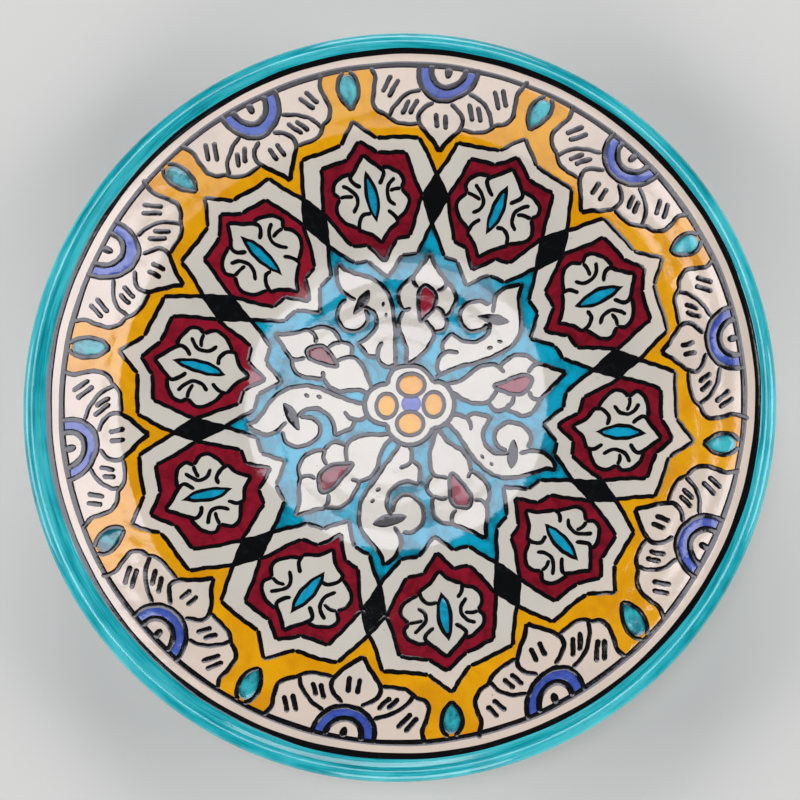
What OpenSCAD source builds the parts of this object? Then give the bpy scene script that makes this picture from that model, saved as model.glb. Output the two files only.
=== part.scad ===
// Hand-painted glazed serving plate.
// The origin is the middle of the foot's lower face, +Z is up, and the floor of
// the plate faces up. Everything is in millimetres.
//
// The plate is one thrown and fired clay body. On it lie the coats that its
// maker puts on: a cream glaze inside, outside and under the foot, a turquoise
// glaze over the lip, and then each colour of the painted pattern. Each coat is
// a solid of its own that lies face to face on the coat below it.

/* [Plate] */
// Outer diameter over the glazed lip
plate_d = 300; // [220:5:420]
// Radius of the flat floor
floor_r = 52; // [30:1:70]
// Height of the glazed floor above the table
floor_z = 12; // [10:0.5:20]
// Radius of the hollow curve between floor and wall
cove_r = 75; // [50:1:100]
// Slope of the wall, in degrees
wall_slope = 24; // [18:1:30]
// Radius at which the wall turns into the flange
shoulder_r = 112; // [108:1:118]
// Radius of the soft shoulder curve
shoulder_curve = 40; // [15:1:45]
// Slope of the flange, in degrees
flange_slope = 11; // [6:1:15]
// Thickness of the clay, measured upright
wall = 6.4; // [4:0.2:9]

/* [Lip] */
// Radius of the round lip, over its glaze
lip_r = 3.8; // [3:0.1:5]
// Width of the raised lip from its outer edge inwards
lip_w = 8; // [7:0.5:12]
// Slope of the lip's inner side, in degrees
lip_slope = 35; // [30:1:45]
// How far the turquoise glaze goes under the lip
rim_under_w = 12; // [9:0.5:16]

/* [Foot] */
// Outer diameter of the foot ring
foot_d = 128; // [100:1:150]
// Width of the foot ring
foot_w = 7; // [5:0.5:10]
// Depth of the glazed well inside the foot ring, above the table
well_z = 4.2; // [3:0.1:5]

/* [Coats] */
// Width of the turquoise glaze from the lip's outer edge inwards
rim_glaze_w = 8; // [6:0.5:10]
// Thickness of each glaze coat
coat = 0.5; // [0.3:0.05:0.8]
// Thickness of each painted colour
paint = 0.2; // [0.15:0.05:0.4]
// Width of the outer black band
outer_band_w = 2.1; // [1:0.1:3]
// Cream gap between the two black bands
band_gap = 2.8; // [1.5:0.1:4]
// Width of the inner black band
inner_band_w = 2.4; // [1:0.1:3]
// Width of the black brush line left free between two colours
line_w = 1.4; // [0.8:0.1:2]

/* [Pattern] */
// Turn of the whole pattern about the plate's axis, in degrees
pattern_turn = 9; // [0:1:35]
// How much larger the drawing is on the floor than on the flange
floor_spread = 1.035; // [1:0.005:1.05]
// Half the width of the four-lobed flower in the middle
flower_half = 17.5; // [14:0.5:19]

/* [Hand] */
// How far the banding wheel's centre lies off the plate's axis, to +X
band_off_x = 1.6; // [-2:0.1:2]
// The same, to +Y
band_off_y = 0.8; // [-1.5:0.1:1.5]
// How far the middle of the painted star lies off the plate's axis, to +X
star_off_x = 5.6; // [-6:0.1:6]
// The same, to +Y
star_off_y = 1.0; // [-3:0.1:3]

/* [Hidden] */

REPEATS = 10;                    // medallions round the plate
STEP = 360 / REPEATS;
TRUE_ROUND = 96;                 // facets of a turned solid in the preview
DRAWN_R = 134.7;                 // radius that the motifs below are drawn for
BAND_OFF = [band_off_x, band_off_y];
STAR_OFF = [star_off_x, star_off_y];
FLOWER_OFF = [star_off_x, star_off_y - 1.4];
CLEAR = 60;                      // taller than any solid that it cuts

// ---- radii from the lip inwards ----
rim_in_r = plate_d / 2 - rim_glaze_w;
outer_band_r = rim_in_r - outer_band_w;
inner_band_out_r = outer_band_r - band_gap;
pattern_r = inner_band_out_r - inner_band_w;
art = pattern_r / DRAWN_R;       // scale of the painted motifs

// ---- section of the glazed inside face ----
cove_end = floor_r + cove_r * sin(wall_slope);
shoulder_start = shoulder_r - shoulder_curve * (sin(wall_slope) - sin(flange_slope));
wall_z = floor_z + cove_r * (1 - cos(wall_slope));
shoulder_z = wall_z + (shoulder_start - cove_end) * tan(wall_slope);
flange_z = shoulder_z + shoulder_curve * (cos(flange_slope) - cos(wall_slope));

lip_foot_r = plate_d / 2 - lip_w;
lip_foot_z = flange_z + (lip_foot_r - shoulder_r) * tan(flange_slope);
lip_top_a = 90 + lip_slope;      // where the lip's inner side runs into its round top
lip_top_r = plate_d / 2 - lip_r + lip_r * cos(lip_top_a);
lip_top_z = lip_foot_z + (lip_top_r - lip_foot_r) * tan(lip_slope);

// Height of the glazed inside face at radius r
function face_z(r) =
    r <= floor_r ? floor_z
    : r <= cove_end ? floor_z + cove_r - sqrt(pow(cove_r, 2) - pow(r - floor_r, 2))
    : r <= shoulder_start ? wall_z + (r - cove_end) * tan(wall_slope)
    : r <= shoulder_r ? flange_z - shoulder_curve * cos(flange_slope)
        + sqrt(pow(shoulder_curve, 2)
               - pow(shoulder_curve * sin(flange_slope) + shoulder_r - r, 2))
    : r <= lip_foot_r ? flange_z + (r - shoulder_r) * tan(flange_slope)
    : lip_foot_z + (r - lip_foot_r) * tan(lip_slope);

// Radii at which the section bends, between two limits
bends = concat([floor_r], [for (i = [1:5]) floor_r + (cove_end - floor_r) * i / 5],
               [for (i = [0:3]) shoulder_start + (shoulder_r - shoulder_start) * i / 3],
               [lip_foot_r]);
function radii(r0, r1) = concat([r0], [for (r = bends) if (r > r0 && r < r1) r], [r1]);

// The inside face between two radii, lifted by dz
function face(r0, r1, dz) = [for (r = radii(r0, r1)) [r, face_z(r) + dz]];
function backwards(p) = [for (i = [len(p) - 1:-1:0]) p[i]];

// ---- section of the lip ----
lip_c = [plate_d / 2 - lip_r, lip_top_z - lip_r * sin(lip_top_a)];
under_r = plate_d / 2 - rim_under_w;
underside = coat + wall;         // clay's lower face below the glazed inside face
lip_under_z = flange_z + (under_r - shoulder_r) * tan(flange_slope) - underside;
LIP_STEPS = 13;
LIP_END_A = -70;                 // where the round lip runs into the underside
function lip_arc(r) = [for (i = [0:LIP_STEPS])
    let (a = lip_top_a + (LIP_END_A - lip_top_a) * i / LIP_STEPS) lip_c + r * [cos(a), sin(a)]];
// The lip's outline from inside its foot over the top to the underside, inset by t
function lip_line(t) = concat(face(lip_foot_r - 5, lip_foot_r, -t), lip_arc(lip_r - t),
                              [[under_r, lip_under_z - coat + t]]);

// ---- foot ----
foot_out_r = foot_d / 2;
foot_in_r = foot_out_r - foot_w;
well_top = well_z + coat;

// Smooth closed outline through the points p, n steps a span
function spline(p, n = 3) = [for (i = [0:len(p) - 1], k = [0:n - 1])
    let (t = k / n, a = p[(i + len(p) - 1) % len(p)], b = p[i],
         c = p[(i + 1) % len(p)], d = p[(i + 2) % len(p)])
    0.5 * (2 * b + (c - a) * t + (2 * a - 5 * b + 4 * c - d) * t * t
           + (3 * b - a - 3 * c + d) * t * t * t)];

// A half outline that starts on the axis, closed with its mirror image
function mirrored(p) = [for (q = backwards(p)) if (abs(q[0]) > 0.01) [-q[0], q[1]]];
function both_sides(p) = concat(p, mirrored(p));

function turned(p, a) = [for (q = p)
    [q[0] * cos(a) - q[1] * sin(a), q[0] * sin(a) + q[1] * cos(a)]];

// Closed outline all round the plate from the half outline of one medallion
function all_round(p) = [for (k = [0:REPEATS - 1])
    each turned(concat(mirrored(p), [for (i = [0:len(p) - 2]) p[i]]), pattern_turn - k * STEP)];

// How much a motif at drawn radius r grows, and how far it moves, when it is laid on the plate
function spread(r) = 1 + (floor_spread - 1) * (lip_foot_z - face_z(r)) / (lip_foot_z - floor_z);
function drift(r) = BAND_OFF + (STAR_OFF - BAND_OFF) * (1 - pow(min(r, DRAWN_R) / DRAWN_R, 2));
function laid(p) = [for (q = p) art * spread(norm(q)) * q + drift(norm(q))];

// Radii on the plate between which a motif from drawn radius r0 to r1 surely lies
function from_r(r0) = max(0, art * r0 - norm(STAR_OFF));
function up_to_r(r1) = min(lip_top_r, art * floor_spread * r1 + norm(STAR_OFF));

// Copies round the plate: on the medallions, or half a step on, between them
module on_medallions(p) {
    for (k = [0:REPEATS - 1]) polygon(laid(turned(p, pattern_turn - k * STEP)));
}
module on_valleys(p, first = 0, every = 1) {
    for (k = [first:every:REPEATS - 1]) polygon(laid(turned(p, pattern_turn - (k + 0.5) * STEP)));
}

// A coat of paint on the inside face, over the plan shape given as children
module painted(r0 = 0, r1 = lip_top_r) {
    intersection() {
        rotate_extrude($fn = TRUE_ROUND)
            polygon(concat(face(r0, r1, 0), backwards(face(r0, r1, paint))));
        linear_extrude(CLEAR) children();
    }
}

module ring(r0, r1) {
    translate(BAND_OFF) difference() {
        circle(r = r1, $fn = TRUE_ROUND);
        circle(r = r0, $fn = TRUE_ROUND);
    }
}

// ---- plan shapes, each drawn upright with the plate's axis at [0, 0] ----
// Black lozenge where the bands of two medallions cross
LOZENGE_TOP = 92.6;
LOZENGE_FOOT = 73;
LOZENGE_HALF = 4.8;
LOZENGE_WAIST = 83.6;
// The medallion's outer edge above the lozenges, from its point to the right
MEDALLION_TOP = [[0, 116], [7.8, 107.2], [24.8, 103.6], LOZENGE_TOP * [sin(STEP / 2), cos(STEP / 2)]];
// The medallion's lower edge, from its foot to the right
MEDALLION_FOOT = [[0, 52.6], [7, 60], [13.2, 60], LOZENGE_FOOT * [sin(STEP / 2), cos(STEP / 2)]];
RED_FRAME = [[0, 107.4], [7, 101.2], [18, 99], [21, 82], [12, 67.6], [6, 67], [0, 59.8]];
ROSETTE = [[0, 103.5], [3.8, 98.8], [7.4, 94.2], [12.3, 93.3], [15.6, 89.3], [14, 85.9],
           [15.9, 81.5], [13.4, 77.2], [8.1, 73.4], [3.2, 70.2], [0, 65.6]];
// Half of the flower between two forks, from its point to the black band
FLOWER = [[0, 101.6], [3, 106], [7.4, 109.6], [9.6, 112.2], [14, 110.6], [19.4, 111.6],
          [21.6, 114.4], [26, 115.2], [28.6, 118], [29.4, 123.6], [29.8, 128], [31.4, 134]];
DROP = [[0, 133.6], [2.5, 132], [3.5, 128.2], [2.6, 124], [0, 120.4],
        [-2.6, 124], [-3.5, 128.2], [-2.5, 132]];
LEAF = [[0, 93.4], [1.1, 89.6], [1.4, 85.6], [0.9, 80.6], [0, 77.6], [-0.9, 80.6],
        [-1.4, 85.6], [-1.1, 89.6]];
// Blue half rings that hang from the inner black band
ARCH_OUT_R = 11.4;
ARCH_IN_R = 7.9;
// The upright palmette, round from its tip
PALMETTE = [[-0.6, 63.6], [3, 58.6], [7.8, 52.8], [11.4, 49.6], [13, 44.6], [11.4, 39],
            [10.2, 35.4], [9.4, 31.4], [6.6, 29.4], [6, 25.6], [3.6, 21.2], [-0.6, 16.6],
            [-2.4, 12.6], [-5.4, 17], [-6, 20.6], [-8.4, 25], [-10.4, 30], [-9.8, 34], [-9, 36.6],
            [-11.4, 41], [-12, 46], [-9.8, 50.2], [-6.6, 53], [-4.4, 57.6]];
SEED = [[0.2, 47.6], [2.8, 44.6], [3.3, 41], [1.6, 36.6], [-0.6, 33.6], [-1.4, 36.4],
        [-1.9, 40.2], [-2.3, 44.4], [-1.3, 46.8]];
// The curled leaf, round from its tip
CURLED_LEAF = [[-0.4, 66], [2.4, 60.4], [8.2, 55.2], [12.6, 50], [13.8, 44.6], [12.6, 38],
               [8.8, 30], [4.4, 21.6], [1.4, 12.6], [-2.4, 16.2], [-4.9, 19.6], [-5.4, 23.2],
               [-8.4, 26], [-8.8, 31.4], [-4, 32.4], [0, 34.6], [-4.8, 35.2], [-10, 38],
               [-12.2, 43.4], [-9.8, 48.8], [-5.2, 51], [-5.6, 55.2], [-5, 59.6], [-2.6, 64]];
LEAF_MARK = [[-4.7, 43.4], [-2.1, 46.8], [2, 49.2], [6.4, 49.3], [4.6, 46.4], [1, 44.3]];

// The four-lobed flower in the middle, half its width from its centre
LOBE_R = 9.3;
DOT_R = flower_half * 4.6 / 17.5;
DOT_INSET = flower_half * 4 / 17.5;
EYE_R = flower_half * 3.9 / 17.5;
module quatrefoil(half) {
    translate(FLOWER_OFF) {
        circle(r = LOBE_R, $fn = 48);
        for (a = [0:90:270]) rotate(a) translate([0, half - LOBE_R]) circle(r = LOBE_R, $fn = 48);
    }
}

// ---- the plate ----
module clay_body() {
    color("chocolate") rotate_extrude($fn = TRUE_ROUND)
        polygon(concat([[0, floor_z - coat]], face(floor_r, lip_foot_r, -coat),
                       lip_arc(lip_r - coat),
                       [[under_r, lip_under_z]],
                       backwards(face(foot_out_r, under_r - 1, -underside)),
                       [[foot_out_r - 1, 0], [foot_in_r + 0.6, 0],
                        [foot_in_r, well_top], [0, well_top]]));
}

module inside_glaze() {
    color("antiquewhite") intersection() {
        rotate_extrude($fn = TRUE_ROUND)
            polygon(concat(face(0, lip_foot_r, -coat), [lip_arc(lip_r - coat)[0], lip_arc(lip_r)[0]],
                           backwards(face(0, lip_foot_r, 0))));
        translate(BAND_OFF) cylinder(r = rim_in_r, h = CLEAR);
    }
}

module outside_glaze() {
    color("antiquewhite") rotate_extrude($fn = TRUE_ROUND)
        polygon(concat(face(foot_out_r, under_r - 1, -underside - coat),
                       [[under_r, lip_under_z - coat], [under_r, lip_under_z]],
                       backwards(face(foot_out_r, under_r - 1, -underside))));
}

module well_glaze() {
    color("antiquewhite") translate([0, 0, well_z]) cylinder(r = foot_in_r, h = coat);
}

module rim_glaze() {
    color("darkturquoise") difference() {
        rotate_extrude($fn = TRUE_ROUND)
            polygon(concat(lip_line(0), backwards(lip_line(coat))));
        translate([band_off_x, band_off_y, lip_c[1] - lip_r]) cylinder(r = rim_in_r, h = CLEAR);
    }
}

// ---- the painted pattern ----
module outer_black_band() {
    color("black") painted(outer_band_r - 3) ring(outer_band_r, rim_in_r);
}

module inner_black_band() {
    color("black") painted(pattern_r - 3) ring(pattern_r, inner_band_out_r);
}

module yellow_strapwork() {
    color("goldenrod") painted(from_r(94))
        difference() {
            translate(BAND_OFF) circle(r = pattern_r, $fn = TRUE_ROUND);
            polygon(laid(all_round(MEDALLION_TOP)));
            on_valleys(both_sides(concat(FLOWER, [[34, 140]])));
            on_medallions([for (q = DROP) [q[0] * 1.45, q[1]]]);
        }
}

module fork_drops() {
    color("darkturquoise") painted(from_r(119)) on_medallions(spline(DROP));
}

module blue_arches() {
    color("royalblue") painted(from_r(122)) translate(BAND_OFF) intersection() {
        circle(r = pattern_r, $fn = TRUE_ROUND);
        for (k = [0:REPEATS - 1]) rotate(pattern_turn - (k + 0.5) * STEP)
            translate([0, pattern_r]) difference() {
                circle(r = ARCH_OUT_R * art, $fn = 48);
                circle(r = ARCH_IN_R * art, $fn = 48);
            }
    }
}

module red_frames() {
    color("firebrick") painted(from_r(59), up_to_r(108)) difference() {
        on_medallions(both_sides(RED_FRAME));
        on_medallions(both_sides(ROSETTE));
    }
}

module black_lozenges() {
    color("black") painted(from_r(72), up_to_r(93))
        on_valleys([[0, LOZENGE_TOP], [LOZENGE_HALF, LOZENGE_WAIST], [0, LOZENGE_FOOT],
                    [-LOZENGE_HALF, LOZENGE_WAIST]]);
}

module rosette_leaves() {
    color("darkturquoise") painted(from_r(77), up_to_r(94)) on_medallions(spline(LEAF));
}

module star_ground() {
    color("deepskyblue") painted(0, up_to_r(93)) difference() {
        polygon(laid(all_round(MEDALLION_FOOT)));
        quatrefoil(flower_half + line_w);
        on_valleys(PALMETTE, 0, 2);
        on_valleys(CURLED_LEAF, 1, 2);
    }
}

module palmette_seeds() {
    color("firebrick") painted(from_r(33), up_to_r(48)) on_valleys(spline(SEED), 0, 2);
}

module leaf_marks() {
    color("black") painted(from_r(35), up_to_r(50)) {
        on_valleys(LEAF_MARK, 1, 2);
        for (c = [[8.8, 41], [7.6, 36.2]])
            on_valleys([for (a = [0:45:315]) c + 0.9 * [cos(a), sin(a)]], 1, 2);
    }
}

module centre_dots() {
    color("goldenrod") painted(0, up_to_r(20)) translate(FLOWER_OFF)
        for (a = [0:90:270]) rotate(a) translate([0, flower_half - DOT_R - DOT_INSET])
            circle(r = DOT_R, $fn = 48);
}

module centre_eye() {
    color("royalblue") painted(0, up_to_r(20)) translate(FLOWER_OFF) circle(r = EYE_R, $fn = 48);
}

clay_body();
inside_glaze();
outside_glaze();
well_glaze();
rim_glaze();
outer_black_band();
inner_black_band();
yellow_strapwork();
fork_drops();
blue_arches();
red_frames();
black_lozenges();
rosette_leaves();
star_ground();
palmette_seeds();
leaf_marks();
centre_dots();
centre_eye();
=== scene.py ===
"""A hand-painted, glazed serving plate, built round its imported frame.

The plate is one thrown clay body under four coats of glaze. A border, ten medallions, a star and
a middle flower are painted on it. Its section and its painting are laid out in millimetres, and
each mesh is made in metres. A motif is drawn upright, x to the right and y outwards from the
plate's middle, and the painter's hand then lays it on the plate.
"""

import logging
import math
from collections.abc import Sequence
from dataclasses import dataclass, field
from enum import Enum

import bmesh
import bpy
import numpy as np
from mathutils import Matrix, Vector
from mathutils.geometry import delaunay_2d_cdt
from mathutils.kdtree import KDTree

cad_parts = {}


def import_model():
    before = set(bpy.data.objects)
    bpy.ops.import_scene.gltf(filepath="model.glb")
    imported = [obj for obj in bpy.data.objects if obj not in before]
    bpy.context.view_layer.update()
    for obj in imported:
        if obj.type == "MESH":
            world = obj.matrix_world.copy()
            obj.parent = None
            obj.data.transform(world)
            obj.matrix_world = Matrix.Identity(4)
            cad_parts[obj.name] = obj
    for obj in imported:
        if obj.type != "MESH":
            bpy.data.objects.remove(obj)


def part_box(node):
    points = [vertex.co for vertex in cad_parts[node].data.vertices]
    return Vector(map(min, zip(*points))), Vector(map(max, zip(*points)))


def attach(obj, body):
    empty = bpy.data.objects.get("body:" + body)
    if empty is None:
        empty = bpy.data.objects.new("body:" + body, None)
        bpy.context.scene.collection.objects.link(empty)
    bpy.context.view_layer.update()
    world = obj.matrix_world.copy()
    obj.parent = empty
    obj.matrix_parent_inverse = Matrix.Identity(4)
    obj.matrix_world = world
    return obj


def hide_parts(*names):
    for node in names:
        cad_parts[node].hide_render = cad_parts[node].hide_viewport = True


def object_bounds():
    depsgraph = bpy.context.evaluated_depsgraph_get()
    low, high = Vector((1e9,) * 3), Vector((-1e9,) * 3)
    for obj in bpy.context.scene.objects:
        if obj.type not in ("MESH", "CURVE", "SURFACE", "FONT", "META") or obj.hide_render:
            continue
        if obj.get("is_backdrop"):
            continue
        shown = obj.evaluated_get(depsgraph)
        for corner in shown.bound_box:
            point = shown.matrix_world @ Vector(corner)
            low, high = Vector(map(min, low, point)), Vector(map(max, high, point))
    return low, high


log = logging.getLogger("plate")

MM = 0.001
REPEATS = 10
STEP = math.tau / REPEATS
ROUND = 360  # segments of a turned piece
TURN = np.linspace(0, math.tau, ROUND, endpoint=False)
CIRCLE = np.column_stack([np.cos(TURN), np.sin(TURN)])
BODY = "root"

# Greatest distance between two samples of a line, in millimetres.
EDGE_STEP = 0.7
STROKE_STEP = 0.6
SMALL_STEP = 0.5

# How far a colour stands above the glaze, in millimetres.
WASH_LIFT = 0.04
PAINT_LIFT = 0.05
DROP_LIFT = 0.06
LEAF_LIFT = 0.1

Point = tuple[float, float]
Outline = Sequence[Point]
Wave = tuple[float, float, float]  # height, count in a turn, phase
Ripple = tuple[float, float, float, float]  # size, pace in x, pace in y, phase
Colour = tuple[float, float, float, float]  # linear red, green and blue, and opacity


class Slot(Enum):
    """The material slots."""

    CLAY = "bare_clay"
    CREAM = "cream_glaze"
    RIM = "turquoise_glaze"
    BLACK = "black_paint"
    YELLOW = "yellow_paint"
    RED = "red_paint"
    BLUE = "blue_paint"
    TURQUOISE = "turquoise_paint"


class Between(Enum):
    """What stands between two medallions, on the star."""

    PALMETTE = 0
    CURLED_LEAF = 1


# ---------------------------------------------------------------- plan geometry


def mirrored(points: Outline) -> list[Point]:
    """The same points on the other side of the upright axis, in the same order."""
    return [(-x, y) for x, y in points]


def both(half: Outline) -> list[Point]:
    """Closes a half outline, which runs from one point on the axis to another, with its mirror.

    Args:
        half: points of the right half, the first and last of them on the axis.

    Returns:
        The whole outline, once round.
    """
    return list(half) + mirrored(half)[-2:0:-1]


def smooth(points: Outline, closed: bool = False, step: float = EDGE_STEP) -> np.ndarray:
    """Runs a smooth line through points.

    Args:
        points: the points that the line passes.
        closed: whether it comes back to its first point.
        step: the greatest distance between two samples.

    Returns:
        The samples, one row each.
    """
    p = np.asarray(points, float)
    count = len(p)
    runs = []
    for i in range(count if closed else count - 1):
        b, c = p[i], p[(i + 1) % count]
        a = p[i - 1] if closed or i else 2 * b - c
        d = p[(i + 2) % count] if closed or i + 2 < count else 2 * c - b
        t = np.linspace(0, 1, max(2, math.ceil(math.dist(b, c) / step)) + 1)[:-1, None]
        bend, twist = 2 * a - 5 * b + 4 * c - d, 3 * b - a - 3 * c + d
        runs.append(b + 0.5 * t * ((c - a) + t * (bend + t * twist)))
    if not closed:
        runs.append(p[-1:])
    return np.concatenate(runs)


def straight(points: Outline, closed: bool = False) -> np.ndarray:
    """Runs straight lines through points and keeps every corner.

    Args:
        points: the corners.
        closed: whether the last one joins the first.

    Returns:
        The samples, one row each.
    """
    p = np.asarray(points, float)
    ends = np.roll(p, -1, axis=0) if closed else p[1:]
    runs = []
    for b, c in zip(p, ends):
        t = np.linspace(0, 1, max(1, math.ceil(math.dist(b, c) / EDGE_STEP)) + 1)[:-1, None]
        runs.append(b + t * (c - b))
    if not closed:
        runs.append(p[-1:])
    return np.concatenate(runs)


def ellipse(centre: Point, half: Point, tilt: float = 0.0, start: float = 0.0,
            sweep: float = math.tau, step: float = STROKE_STEP) -> np.ndarray:
    """Samples an ellipse or an arc of one, anticlockwise.

    Args:
        centre: its middle.
        half: its half axes before it is tilted.
        tilt: how far it is turned, in radians.
        start: the angle of the first sample.
        sweep: how far it goes round. A whole turn leaves the last sample out.
        step: the greatest distance between two samples.

    Returns:
        The samples, one row each.
    """
    fewest = 12
    count = max(fewest, math.ceil(sweep * max(half) / step))
    a = start + sweep * np.linspace(0, 1, count + 1)[: -1 if sweep == math.tau else None]
    x, y = half[0] * np.cos(a), half[1] * np.sin(a)
    c, s = math.cos(tilt), math.sin(tilt)
    return np.column_stack([centre[0] + c * x - s * y, centre[1] + s * x + c * y])


def within(points: np.ndarray, loop: np.ndarray) -> np.ndarray:
    """Tells which points lie inside a closed loop.

    Args:
        points: one row a point.
        loop: the loop's points, once round.

    Returns:
        True for each point inside.
    """
    near = np.all((points >= loop.min(0)) & (points <= loop.max(0)), axis=1)
    px, py = points[near].T
    odd = np.zeros(len(px), bool)
    for (ax, ay), (bx, by) in zip(loop, np.roll(loop, -1, axis=0)):
        if ay != by:
            odd ^= ((ay > py) != (by > py)) & (px < (bx - ax) * (py - ay) / (by - ay) + ax)
    near[near] = odd
    return near


def trimmed(path: np.ndarray, loop: np.ndarray) -> np.ndarray:
    """A path without the end of it that runs into a closed loop."""
    return path[~within(path, loop)]


def waves(angle: np.ndarray, *parts: Wave) -> np.ndarray:
    """Sine waves added up round a turn, each with its height, its count and its phase."""
    return sum(height * np.sin(count * angle + phase) for height, count, phase in parts)


# ---------------------------------------------------------------- the plate and the hand


@dataclass(frozen=True)
class Section:
    """The plate's section, in millimetres and radians, as it was thrown and glazed."""

    plate_r: float
    floor_z: float
    well_z: float
    floor_r: float = 52.0
    cove_r: float = 75.0
    wall_slope: float = math.radians(24)
    shoulder_r: float = 112.0
    shoulder_curve: float = 40.0
    flange_slope: float = math.radians(11)
    lip_r: float = 3.8
    lip_w: float = 8.0
    lip_slope: float = math.radians(35)
    lip_blend: float = 0.6
    rim_under_w: float = 12.0
    lip_end: float = math.radians(-70)
    wall: float = 6.4
    coat: float = 0.5
    foot_r: float = 64.0
    foot_w: float = 7.0
    foot_draft: float = 1.0
    ring_depth: float = 0.03
    ring_pitch: float = 8.0
    ring_wander: float = 0.7
    ring_drift: float = 0.02
    dome: float = 0.7
    dome_fade: float = 45.0
    warp: float = 0.25
    warp_waves: tuple[Wave, ...] = ((0.3, 2, 0.6), (0.2, 3, 2.1))

    @property
    def lip_foot_r(self) -> float:
        """Radius at which the lip's inner side rises from the flange."""
        return self.plate_r - self.lip_w

    @property
    def under_r(self) -> float:
        """Radius at which the turquoise glaze ends under the lip."""
        return self.plate_r - self.rim_under_w

    @property
    def foot_top(self) -> float:
        """Height at which the foot ring meets the plate's underside."""
        return float(self.thrown(np.array([self.foot_r]))[0]) - self.coat - self.wall

    @property
    def middle_z(self) -> float:
        """Height of the glazed face on the axis."""
        return float(self.height(np.array([0.0]), np.array([0.0]))[0])

    def thrown(self, r: np.ndarray) -> np.ndarray:
        """Works out the glazed inside face as thrown, before the potter's unevenness.

        Args:
            r: distances from the axis.

        Returns:
            The height at each.
        """
        s, f = self.wall_slope, self.flange_slope
        cove_end = self.floor_r + self.cove_r * math.sin(s)
        turn_r = self.shoulder_r - self.shoulder_curve * (math.sin(s) - math.sin(f))
        wall_z = self.floor_z + self.cove_r * (1 - math.cos(s))
        turn_z = wall_z + (turn_r - cove_end) * math.tan(s)
        flange_z = turn_z + self.shoulder_curve * (math.cos(f) - math.cos(s))
        out = np.clip(r - self.floor_r, 0, self.cove_r)
        cove = self.floor_z + self.cove_r - np.sqrt(self.cove_r**2 - out**2)
        wall = wall_z + (r - cove_end) * math.tan(s)
        curve = self.shoulder_curve
        across = np.clip(curve * math.sin(f) + self.shoulder_r - r, 0, curve)
        shoulder = flange_z - curve * math.cos(f) + np.sqrt(curve**2 - across**2)
        rise = np.logaddexp(0, (r - self.lip_foot_r) / self.lip_blend) * self.lip_blend
        flange = flange_z + (r - self.shoulder_r) * math.tan(f)
        flange += rise * (math.tan(self.lip_slope) - math.tan(f))
        return np.select([r <= self.floor_r, r <= cove_end, r <= turn_r, r <= self.shoulder_r],
                         [np.full_like(r, self.floor_z), cove, wall, shoulder], flange)

    def dip(self, x: np.ndarray, y: np.ndarray) -> np.ndarray:
        """Works out how far the floor's dome, throwing rings and the kiln's warp lower the face.

        Args:
            x: places in plan, from the axis.
            y: the same, in the other direction.

        Returns:
            The drop at each place.
        """
        r, a = np.hypot(x, y), np.arctan2(y, x)
        fall = np.clip(r / self.floor_r, 0, 1) ** 2
        fall = fall * np.clip((self.shoulder_r - r) / self.dome_fade, 0, 1) ** 2
        wander = self.ring_wander * np.sin(a + 1) + self.ring_drift * r
        rings = 0.5 - 0.5 * np.sin(math.tau * r / self.ring_pitch + wander)
        bend = 0.5 + waves(a, *self.warp_waves)
        warp = self.warp * bend * (r / self.plate_r) ** 2
        return self.dome * fall + self.ring_depth * rings + warp

    def height(self, x: np.ndarray, y: np.ndarray) -> np.ndarray:
        """Height of the glazed inside face over a place in plan."""
        return self.thrown(np.hypot(x, y)) - self.dip(x, y)

    def lip_top(self) -> tuple[Point, Point]:
        """Finds where the lip's inner side runs into its round top.

        Returns:
            That place's radius and height, and those of the middle of the round.
        """
        a = math.pi / 2 + self.lip_slope
        top_r = self.plate_r - self.lip_r + self.lip_r * math.cos(a)
        top_z = float(self.thrown(np.array([top_r]))[0])
        return (top_r, top_z), (self.plate_r - self.lip_r, top_z - self.lip_r * math.sin(a))

    def lip_arc(self, inset: float, steps: int = 26) -> list[Point]:
        """Goes round the lip, from its inner side over the top to the underside.

        Args:
            inset: how far under the glazed face.
            steps: how many places.

        Returns:
            Each place's radius and height.
        """
        (mid_r, mid_z), start = self.lip_top()[1], math.pi / 2 + self.lip_slope
        angles = np.linspace(start, self.lip_end, steps)
        reach = self.lip_r - inset
        return [(mid_r + reach * math.cos(a), mid_z + reach * math.sin(a)) for a in angles]


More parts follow.
